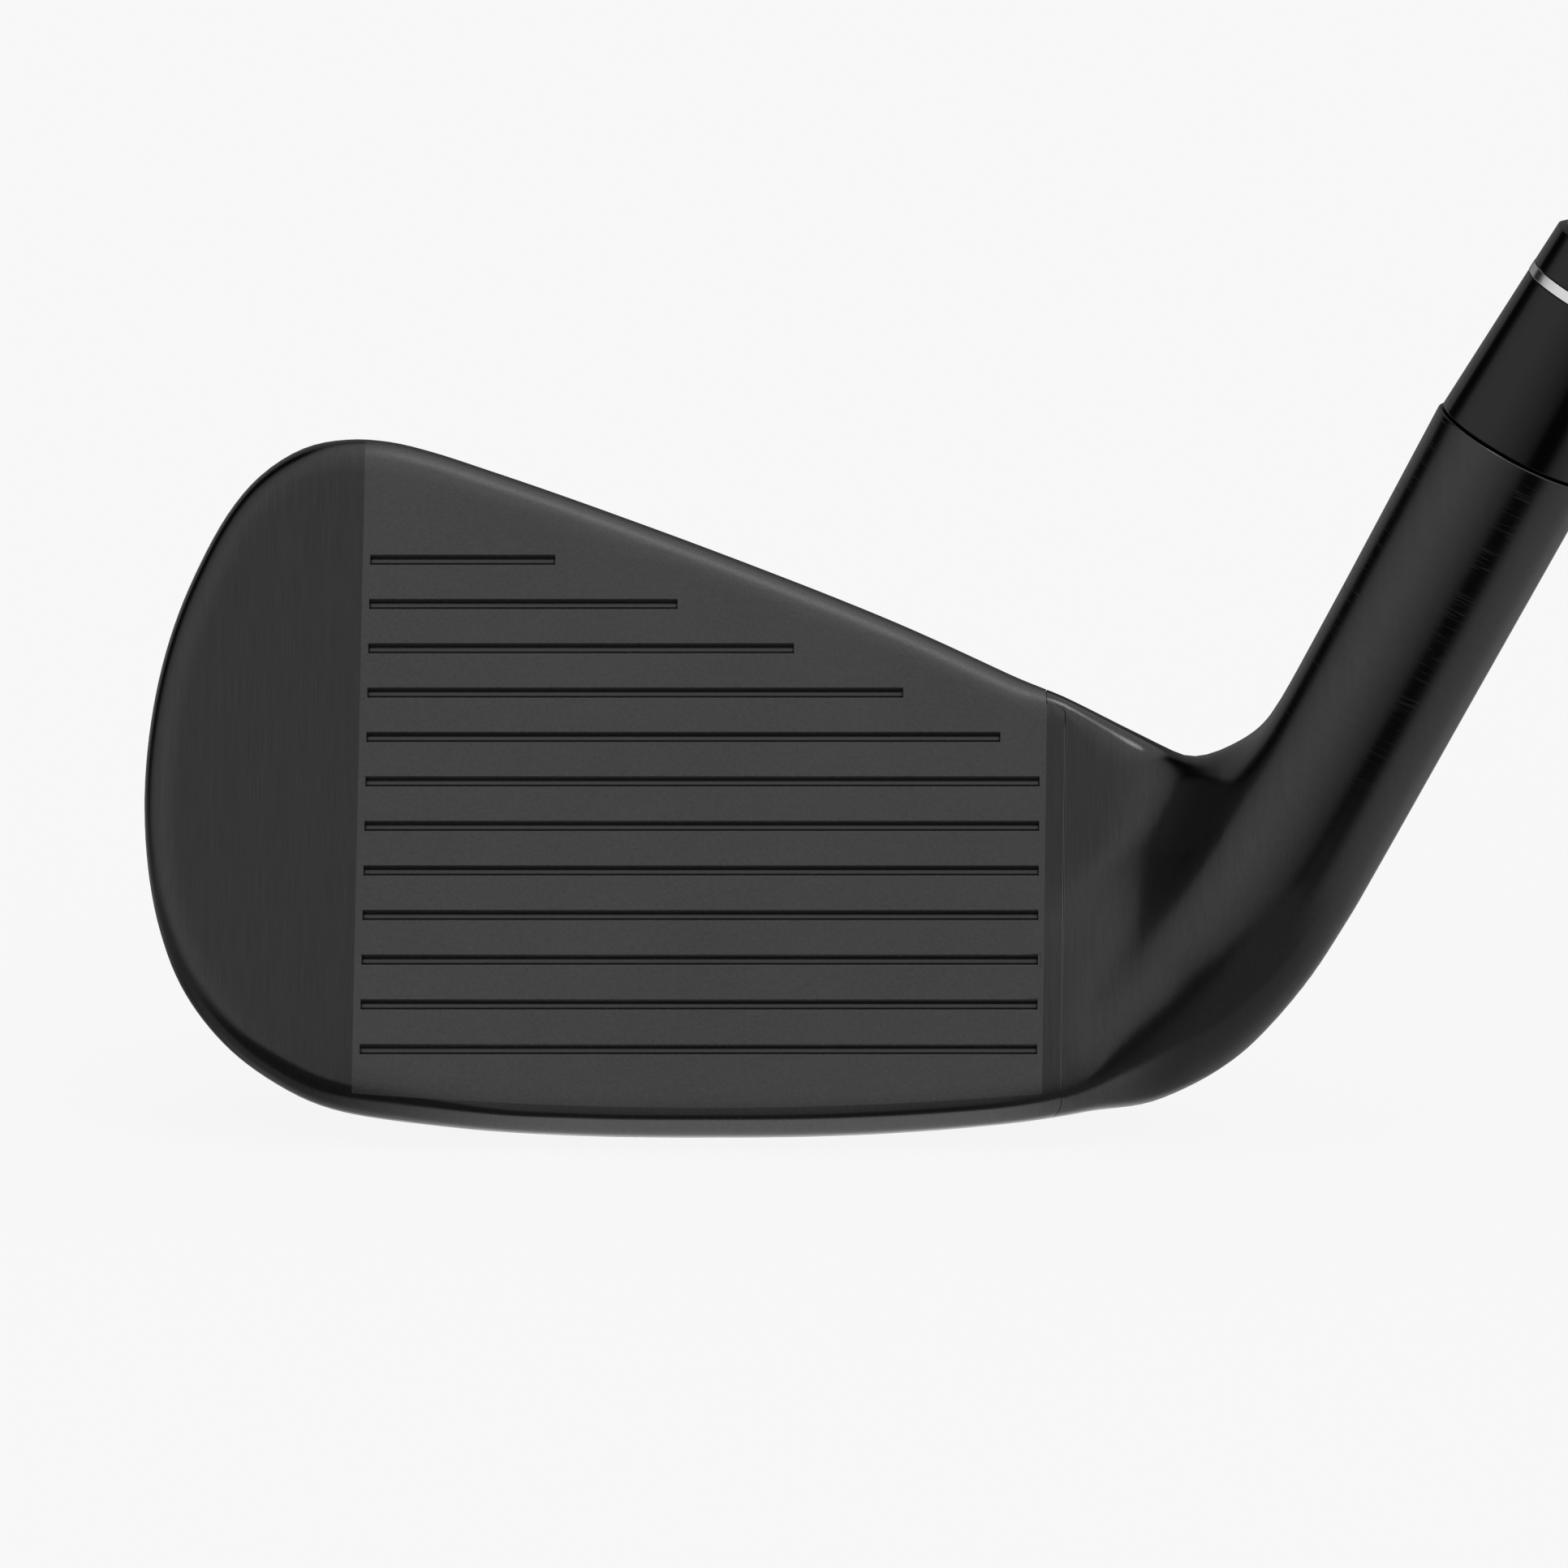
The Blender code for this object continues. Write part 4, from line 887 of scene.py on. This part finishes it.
# ---------------------------------------------------------------- head body and face plate
# Outlines on the face: (across, up)
# The weld hairline, from above the topline down; it turns a round corner at each end
SEAM = rounded([(27.0, 90), (27.0, 36.9), (28.49, 36.6), (28.03, 4.1), (27.0, 3.6), (26.9, -30)],
               [0, 0.05, 1.3, 1.5, 0.4, 0], steps=5, closed=False)
CAVITY_TOP = [
    (-39.6, 19.0), (-40.3, 30), (-39.0, 40), (-35.5, 49.5), (-31, 53.6), (-26, 54.2),
    (-12, 49.5), (4, 43.3), (18, 37.2), (24.5, 32.5), (24.5, 19.0),
]
CAVITY_LOW = [(-36.5, 11.5), (-39.2, 17.5), (-39.5, 20.0), (23.0, 20.0), (23.0, 11.5)]
BADGE = rounded([
    (-36.0, 30.5), (-36.6, 38.0), (-34.0, 45.5), (-29.5, 50.2), (-24.5, 50.6), (-10.0, 45.6),
    (4.0, 39.9), (16.0, 34.5), (19.0, 30.5),
], 1.2, steps=4)
HOSEL_EDGE_R = 0.22


def head_master():
    """The whole head as one solid, flat where it meets the floor."""
    rings = head_rings(128, toe=26, blade_count=88, fan=56, hosel=18)
    rings[..., 2] = np.maximum(rings[..., 2], 0.0)
    top, centre = rings[-1], np.array(axis_point(HOSEL_TOP))
    out = (top - centre) / np.linalg.norm(top - centre, axis=1, keepdims=True)
    edge = [top - AXIS * HOSEL_EDGE_R * (1 - sin(angle)) - out * HOSEL_EDGE_R * (1 - cos(angle))
            for angle in np.linspace(0, pi / 2, 5)]
    return from_rings("master", [np.concatenate([rings[:-1], np.array(edge)])], where=TOOLS)


def topline_across(up):
    """Where the topline stands at a height up the face."""
    top = LOOP[(LOOP[:, 1] > 33.5) & (LOOP[:, 0] > -27) & (LOOP[:, 0] < 38)]
    top = top[np.argsort(top[:, 1])]
    return float(np.interp(up, top[:, 1], top[:, 0]))


def groove_cutter():
    """Tapered channels with rounded lips and sloped ends, as one cutter."""
    half, floor, lip = GROOVE_WIDTH / 2, GROOVE_FLOOR / 2, 0.05
    slope = (half - floor) / GROOVE_DEPTH
    # (half width, height out of the face), from the floor up
    section = [
        (floor - 0.06, -GROOVE_DEPTH), (floor, -GROOVE_DEPTH + 0.05),
        (half - slope * lip * 1.2, -lip * 1.2), (half + 0.005, -lip * 0.45),
        (half + 0.04, -0.004), (half + 0.08, 0.02), (half + 0.5, 0.6),
    ]
    stacks = []
    for k in range(GROOVES):
        up = GROOVE_FIRST + GROOVE_PITCH * k
        left = -27.55 + 0.0554 * k
        right = min(26.12 + 0.045 * k, topline_across(up + 5.8))
        rings = []
        for wide, z in section:
            trim = 0.12 * (-z) / GROOVE_DEPTH if z < 0 else -0.1 - (wide - half)
            rings.append([(left + trim, up - wide, z), (right - trim, up - wide, z),
                          (right - trim, up + wide, z), (left + trim, up + wide, z)])
        stacks.append(np.array(rings))
    return from_rings("cut_grooves", stacks, where=TOOLS, matrix=FACE)


def build_head():
    master = head_master()
    front = [(-80, -30)] + SEAM[::-1] + [(-80, 90)]
    kept = [(x - (SEAM_GAP if x > 0 else 0), y) for x, y in front]
    keep_front = prism_cutter("keep_front", kept, -(FACE_THICK - SEAM_GAP), 30.5)
    bore_profile = [(0, HOSEL_TOP + 3), (BORE_R + 3.5, HOSEL_TOP + 3), (BORE_R, HOSEL_TOP - 0.5),
                    (BORE_R, BORE_BOTTOM), (0, BORE_BOTTOM - 1.6)]
    port_profile = [(0, 6), (2.9, 6), (2.9, 0), (1.75, 0), (1.75, -6.0), (0, -6.0)]

    body = new_object("head_body_look", master.data.copy())
    boolean(body, [
        prism_cutter("cut_front", front, -FACE_THICK, 30),
        prism_cutter("cut_cavity_top", CAVITY_TOP, -4.2, 2.0),
        prism_cutter("cut_cavity_low", CAVITY_LOW, -9.0, 2.3),
        turned("cut_bore", bore_profile, 96, TOOLS),
        turned("cut_port", port_profile, 64, TOOLS, PORT),
        prism_cutter("cut_badge_pocket", BADGE, -14.0, -5.25),
    ])
    finish_piece(body, 38, "body_steel", "head_body")

    face = new_object("face_plate_look", master.data.copy())
    boolean(face, [keep_front], "INTERSECT")
    boolean(face, [groove_cutter()])
    finish_piece(face, 24, "face_steel", "face_plate")


build_head()

# ---------------------------------------------------------------- badge, screw and seal
# (inset, height out of the face): the edge, the rear face and a thin line sunk round it
BADGE_LEVELS = [
    (0.12, -5.50), (0.0, -5.58), (0.0, -6.12), (0.06, -6.25), (0.2, -6.33), (0.7, -6.35),
    (0.78, -6.30), (0.86, -6.16), (1.2, -6.16), (1.28, -6.30), (1.36, -6.35),
]
RIBS, RIB_FIRST, RIB_PITCH, RIB_LEAN, RIB_LOW = 9, -27.5, 2.3, 5.2, 33.2
RIB_SECTION = [(0.32, -6.10), (0.50, -6.36), (0.8, -6.8)]   # (half width, height)


def rib_cutter():
    """Shallow slanted channels across the middle of the badge."""
    stacks = []
    for k in range(RIBS):
        x = RIB_FIRST + RIB_PITCH * k
        high = 41.4 - 0.42 * k
        stacks.append(np.array([
            [(x - wide, RIB_LOW, z), (x + wide, RIB_LOW, z),
             (x + wide + RIB_LEAN, high, z), (x - wide + RIB_LEAN, high, z)]
            for wide, z in RIB_SECTION]))
    return from_rings("cut_ribs", stacks, where=TOOLS, matrix=FACE)


def build_badge():
    badge = layered("back_badge_look", inset(BADGE, 0.25), BADGE_LEVELS)
    boolean(badge, [rib_cutter()])
    finish_piece(badge, 30, "badge_metal", "back_badge")


def build_screw():
    """A domed head with a hexagon socket over a ridged stem."""
    stem_r, ridge, ridge_pitch, socket_r = 1.5, 0.28, 0.25, 1.2
    rim = rounded([(1.7, 1.45), (2.45, 1.42), (2.6, 1.15), (2.6, 0.42), (2.45, 0.35)],
                  0.12, steps=3, closed=False)
    ridges = [(stem_r - (ridge if i % 2 else 0.0), 0.1 - ridge_pitch * i) for i in range(15)]
    profile = ([(0, 1.22), (1.32, 1.22), (1.62, 1.43)] + rim + [(stem_r, 0.35)] + ridges
               + [(1.2, -3.9), (0, -3.9)])
    screw = turned("port_screw_look", profile, 72, LOOKS, PORT)
    corners = [pi / 6 + pi / 3 * k for k in range(6)]
    hexagon = [(socket_r * cos(angle), socket_r * sin(angle)) for angle in corners]
    boolean(screw, [prism_cutter("cut_socket", hexagon, 0.55, 3.0, PORT)])
    finish_piece(screw, 30, "screw_steel", "port_screw")


def build_seal():
    section = [(2.175 + 0.31 * cos(angle), 0.175 + 0.115 * sin(angle))
               for angle in np.linspace(0, 2 * pi, 14, endpoint=False)]
    seal = turned("port_seal_look", section, 64, LOOKS, PORT, ring=True)
    finish_piece(seal, 60, "seal_rubber", "port_seal")


build_badge()
build_screw()
build_seal()


# ---------------------------------------------------------------- ferrule collars and ring
def ferrule_r(height):
    return FERRULE_LOW_R + ((FERRULE_HIGH_R - FERRULE_LOW_R) * (height - FERRULE_FOOT)
                            / (FERRULE_TOP - FERRULE_FOOT))


def collar_profile(low, high, swell, round_low, round_high):
    line = [(COLLAR_BORE_R, high), (ferrule_r(high) + swell, high),
            (ferrule_r(low) + swell, low), (COLLAR_BORE_R, low)]
    return rounded(line, [0.03, round_high, round_low, 0.03], steps=6)


def upper_profile():
    """The upper collar slopes in to a thin lip at its top."""
    low, high = RING_HIGH + 0.03, FERRULE_TOP
    line = [(COLLAR_BORE_R, high), (COLLAR_BORE_R + 0.28, high),
            (ferrule_r(high) + 0.02, high - 0.42), (ferrule_r(low), low), (COLLAR_BORE_R, low)]
    return rounded(line, [0.03, 0.05, 0.06, 0.08, 0.03], steps=5)


for node, profile, slot in (
    ("ferrule_lower", collar_profile(low=FERRULE_FOOT + 0.07, high=RING_LOW - 0.03, swell=0.0,
                                     round_low=0.22, round_high=0.08), "ferrule_plastic"),
    ("ferrule_ring", collar_profile(low=RING_LOW + 0.02, high=RING_HIGH - 0.02, swell=0.03,
                                    round_low=0.10, round_high=0.10), "ring_metal"),
    ("ferrule_upper", upper_profile(), "ferrule_plastic"),
):
    finish_piece(turned(node + "_look", profile, 144, ring=True), 40, slot, node)


# ---------------------------------------------------------------- shaft
def shaft_profile():
    """The stepped tube from the top down the outside, then back up the inside."""
    chamfer_butt, chamfer_tip, step_height = 0.12, 0.1, 0.9
    rise = (SHAFT_BUTT_R - SHAFT_TIP_R) / STEPS
    outer = [(SHAFT_BUTT_R - chamfer_butt, SHAFT_TOP), (SHAFT_BUTT_R, SHAFT_TOP - chamfer_butt)]
    radius = SHAFT_BUTT_R
    for k in reversed(range(STEPS)):
        at = STEP_FIRST + STEP_PITCH * k
        for t in np.linspace(0, 1, 6):
            outer.append((radius - rise * float(ease(t, 0, 1)),
                          at + step_height - step_height * t))
        radius -= rise
    outer += [(SHAFT_TIP_R, 84.0), (SHAFT_TIP_R, SHAFT_FOOT + chamfer_tip),
              (SHAFT_TIP_R - chamfer_tip, SHAFT_FOOT)]
    # the end points are set out again, against the outer chamfers
    inner = [(radius - SHAFT_WALL + (0.11 if i in (0, len(outer) - 1) else 0), height)
             for i, (radius, height) in enumerate(outer)]
    return outer + inner[::-1]


finish_piece(turned("shaft_look", shaft_profile(), 128, ring=True), 40, "shaft_steel", "shaft")

# ---------------------------------------------------------------- grip
GRIP_SEG, DIAMOND_TURNS, DIAMOND_PITCH = 224, 22, 5.4
PANELS = ((682, 727), (734, 779), (786, 831), (838, 883), (890, 928))  # low and high ends
# ring grooves: heights, depth and width
RING_GROOVES = (
    ([middle + offset for middle in (730.5, 782.5, 834.5, 886.5) for offset in (-1.5, 1.5)],
     0.28, 0.55),
    ((678.5, 931.5), 0.25, 0.6),
)


def grip_r(height):
    t = (height - GRIP_FROM) / (GRIP_TO - GRIP_FROM)
    return GRIP_MOUTH_R + (GRIP_BUTT_R - GRIP_MOUTH_R) * (0.62 * t + 0.38 * t**4)


def build_grip():
    """Panels of diamond relief between plain bands with ring grooves, and a stepped mouth."""
    heights = [GRIP_FROM + rise for rise in (0, 0.15, 0.6, 1.8, 3.0, 3.3)]
    heights += list(np.arange(GRIP_FROM + 4.0, GRIP_TO - 0.6, 0.82)) + [GRIP_TO - 0.25, GRIP_TO]
    heights = np.array(heights)
    base = np.array([grip_r(height) for height in heights])
    base += np.interp(heights, [GRIP_FROM + rise for rise in (0, 0.15, 0.6, 3.0, 3.6)],
                      [-0.35, 0.1, 0.35, 0.35, 0.0])
    base[-1] -= 0.15
    angles = np.linspace(0, 2 * pi, GRIP_SEG, endpoint=False)
    all_heights, all_angles = np.meshgrid(heights, angles, indexing="ij")

    # two families of crossing spirals, with a pip in the middle of each diamond
    turn = all_angles / (2 * pi) * DIAMOND_TURNS
    along = (all_heights - GRIP_FROM) / DIAMOND_PITCH
    right, left = ((turn + along) % 1.0) - 0.5, ((turn - along) % 1.0) - 0.5
    groove = np.maximum(ease(np.abs(right) * 2, 0.72, 0.96), ease(np.abs(left) * 2, 0.72, 0.96))
    pip = ease(np.hypot(right, left), 0.20, 0.08)
    relief = -0.34 * groove + 0.10 * pip
    panel = np.zeros_like(heights)
    for low, high in PANELS:
        inside = ease(heights, low, low + 1.2) * (1 - ease(heights, high - 1.2, high))
        panel = np.maximum(panel, inside)
    bands = np.zeros_like(heights)
    for places, depth, width in RING_GROOVES:
        for at in places:
            bands = np.minimum(bands, -depth * np.exp(-((heights - at) / width) ** 2))

    radius = base[:, None] + relief * panel[:, None] + bands[:, None]
    outer = np.stack([radius * np.cos(all_angles), radius * np.sin(all_angles), all_heights], -1)
    inner = np.stack([TAPE_R * np.cos(all_angles[:2]), TAPE_R * np.sin(all_angles[:2]),
                      all_heights[[0, -1]]], -1)
    grip = from_rings("grip_sleeve_look", [np.concatenate([outer, inner[::-1]])],
                      close_ends=False, matrix=SHAFT)
    finish_piece(grip, 50, "grip_rubber", "grip_sleeve")


def build_cap():
    """A thick disc with a small hole through it and a shallow ring sunk in its top."""
    hole_r, cap_r, sunk = 1.5, 13.2, CLUB_LENGTH - 0.35
    line = [
        (hole_r, CLUB_LENGTH), (2.6, CLUB_LENGTH), (2.9, sunk), (8.6, sunk), (8.9, CLUB_LENGTH),
        (11.3, CLUB_LENGTH), (12.6, CLUB_LENGTH - 0.5), (cap_r, CLUB_LENGTH - 1.6),
        (cap_r, GRIP_TO + 0.5), (GRIP_BUTT_R, GRIP_TO + 0.05), (hole_r, GRIP_TO + 0.05),
    ]
    radii = [0.15, 0.15, 0.15, 0.15, 0.15, 0.4, 0.5, 0.4, 0.15, 0.1, 0.1]
    cap = turned("grip_cap_look", rounded(line, radii, steps=4), 160, ring=True)
    finish_piece(cap, 40, "cap_rubber", "grip_cap")


build_grip()
build_cap()

# ---------------------------------------------------------------- inner pieces keep CAD meshes
for node, slot in (
    ("foam_core", "foam"), ("toe_weight", "tungsten"), ("badge_adhesive", "badge_pad"),
    ("hosel_adhesive", "epoxy"), ("tip_weight_pin", "pin_brass"), ("grip_tape", "grip_tape"),
):
    set_material(frame["nodes"][node], slot)

for tool in list(TOOLS.objects):
    bpy.data.objects.remove(tool, do_unlink=True)
bpy.data.collections.remove(TOOLS)

# ---------------------------------------------------------------- world
scene = bpy.context.scene
scene.view_settings.view_transform = "Standard"
scene.view_settings.look = "None"
scene.view_settings.exposure = 0.0
scene.view_settings.gamma = 1.0
PALE = 0.930                # brightness of the backdrop
CAMERA_DIP_DEG = 15.4       # how far the camera looks down
LOOK = np.array([0.0, cos(radians(CAMERA_DIP_DEG)), -sin(radians(CAMERA_DIP_DEG))])

# The soft boxes stand round the club like a drum whose axis is the hosel's:
# (turn in degrees from the camera's side, positive to the right; brightness)
DRUM = [
    (-180, .08), (-168, .14), (-156, .24), (-138, .28), (-131, .28), (-126, .02), (-113, .01),
    (-106, .10), (-98, .50), (-88, .68), (-80, .78), (-72, .84), (-60, .89), (-48, .90),
    (-40, .87), (-28, .79), (-16, .68), (-6, .59), (4, .46), (14, .34), (21, .20), (27, .03),
    (32, .01), (46, .01), (52, .12), (60, .44), (68, .61), (88, .70), (104, .66), (128, .56),
    (152, .25),
]


def drum_light(sky, direction):
    """The brightness round the drum, from a ramp over the full turn."""
    to_camera = -LOOK - (-LOOK @ AXIS) * AXIS
    to_camera /= np.linalg.norm(to_camera)
    to_right = np.cross(AXIS, to_camera)
    turn = sky.math("ARCTAN2", sky.dot(direction, to_right), sky.dot(direction, to_camera))
    place = (turn * (180 / pi) + 180.0) / 360.0
    ramp = sky.node("ShaderNodeValToRGB", place)
    stops = ramp.color_ramp.elements
    while len(stops) > 1:
        stops.remove(stops[-1])
    for i, (degrees, bright) in enumerate(DRUM):
        position = (degrees + 180) / 360
        stop = stops[0] if i == 0 else stops.new(position)
        stop.position = position
        stop.color = (bright, bright, bright, 1)
    return Value(sky, ramp.outputs[0])


def build_world():
    """Mirrored rays see the soft boxes; the camera sees an even pale backdrop."""
    world = bpy.data.worlds.new("studio")
    scene.world = world
    sky = Nodes(world)
    direction = sky.node("ShaderNodeTexCoord").outputs["Generated"]
    tilt = sky.dot(direction, AXIS)
    light = drum_light(sky, direction)
    # the top box closes the drum and is brighter, with a small hot spot
    top_light, table_light, hot_spot = 0.85, 0.30, (0.27, -0.02, 0.9627)
    light = sky.mix(sky.step(tilt, over=(0.58, 0.76)), light, top_light)
    light = light * sky.step(tilt, over=(0.62, 0.88), low=1.0, high=1.3)
    light = light * sky.step(tilt, over=(0.92, 0.975), low=1.0, high=1.1)
    glint = sky.dot(direction, hot_spot)
    light = light * sky.step(glint, over=(0.984, 0.996), low=1.0, high=4.6)
    # below, the pale table lifts the dark parts
    below = sky.step(tilt, over=(-0.62, -0.29), low=1.0, high=0.0)
    light = sky.mix(below, light, table_light)
    path = sky.node("ShaderNodeLightPath").outputs
    seen = sky.math("MAXIMUM", path["Is Camera Ray"], path["Is Transmission Ray"])
    strength = seen * PALE + (1.0 - seen) * light
    background = sky.shader("ShaderNodeBackground", (1, 1, 1, 1), strength)
    sky.node("ShaderNodeOutputWorld", background)


build_world()


# ---------------------------------------------------------------- floor
def floor_material():
    """Pale and almost evenly lit, clear from below. Mirrored rays near the head see a bright
    patch under it and a darker table; farther off they pass to the soft boxes.
    Places on the floor are in metres."""
    material = bpy.data.materials.new("pale_floor")
    mat = Nodes(material, spare=0.5)
    emit = mat.shader("ShaderNodeEmission", (1, 1, 1, 1), PALE * 0.966)
    diffuse = mat.shader("ShaderNodeBsdfDiffuse", (0.042, 0.042, 0.042, 1))
    pale = mat.shader("ShaderNodeAddShader", emit, diffuse)
    clear = mat.shader("ShaderNodeBsdfTransparent")
    backfacing = mat.node("ShaderNodeNewGeometry").outputs["Backfacing"]
    one_sided = mat.shader("ShaderNodeMixShader", backfacing, pale, clear)

    coord = mat.node("ShaderNodeTexCoord").outputs["Object"]
    split = mat.node("ShaderNodeSeparateXYZ", coord).outputs
    x, y = Value(mat, split[0]), Value(mat, split[1])
    near = ((mat.step(x, over=(-0.085, -0.055))
             * mat.step(x, over=(0.055, 0.085), low=1, high=0))
            * (mat.step(y, over=(-0.085, -0.055))
               * mat.step(y, over=(0.05, 0.08), low=1, high=0)))
    # under the toe the bright patch starts farther back
    shifted_y = y + mat.step(x, over=(-0.036, -0.008), low=-0.004, high=0.0)
    patch_y = (mat.step(shifted_y, over=(-0.0165, -0.0145), low=0.0, high=1.65)
               * mat.step(y, over=(-0.003, 0.006), low=1.0, high=0.15))
    patch_x = (mat.step(x, over=(-0.036, -0.010), low=0.16, high=1.0)
               * mat.step(x, over=(0.020, 0.040), low=1.0, high=0.07))
    table = mat.step(x, over=(0.018, 0.040), low=0.10, high=0.27)
    glow = mat.shader("ShaderNodeEmission", named={"Strength": table + patch_y * patch_x})
    mirrored = mat.shader("ShaderNodeMixShader", near, clear, glow)

    glossy = mat.node("ShaderNodeLightPath").outputs["Is Glossy Ray"]
    surface = mat.shader("ShaderNodeMixShader", glossy, one_sided, mirrored)
    mat.node("ShaderNodeOutputMaterial", surface)
    return material


def build_floor():
    half = 40.0         # metres
    mesh = bpy.data.meshes.new("studio_floor")
    corners = [(-half, -half, 0), (half, -half, 0), (half, half, 0), (-half, half, 0)]
    mesh.from_pydata(corners, [], [(0, 1, 2, 3)])
    floor = bpy.data.objects.new("studio_floor", mesh)
    scene.collection.objects.link(floor)
    floor.location = (0, 0, -0.0001)
    mesh.materials.append(floor_material())
    floor.visible_diffuse = False
    floor.visible_shadow = False


build_floor()

# ---------------------------------------------------------------- camera
CAMERA_TARGET = np.array([6.0645, 3.650, 26.8])
CAMERA_DISTANCE = 1246.451613


def build_camera():
    data = bpy.data.cameras.new("camera")
    data.sensor_width, data.lens = 36.0, 360.0
    data.clip_start, data.clip_end = 0.1, 100.0
    camera = bpy.data.objects.new("camera", data)
    scene.collection.objects.link(camera)
    camera.location = tuple((CAMERA_TARGET - LOOK * CAMERA_DISTANCE) * MM)
    camera.rotation_euler = (radians(90 - CAMERA_DIP_DEG), 0.0, 0.0)
    scene.camera = camera


build_camera()

bpy.context.view_layer.update()
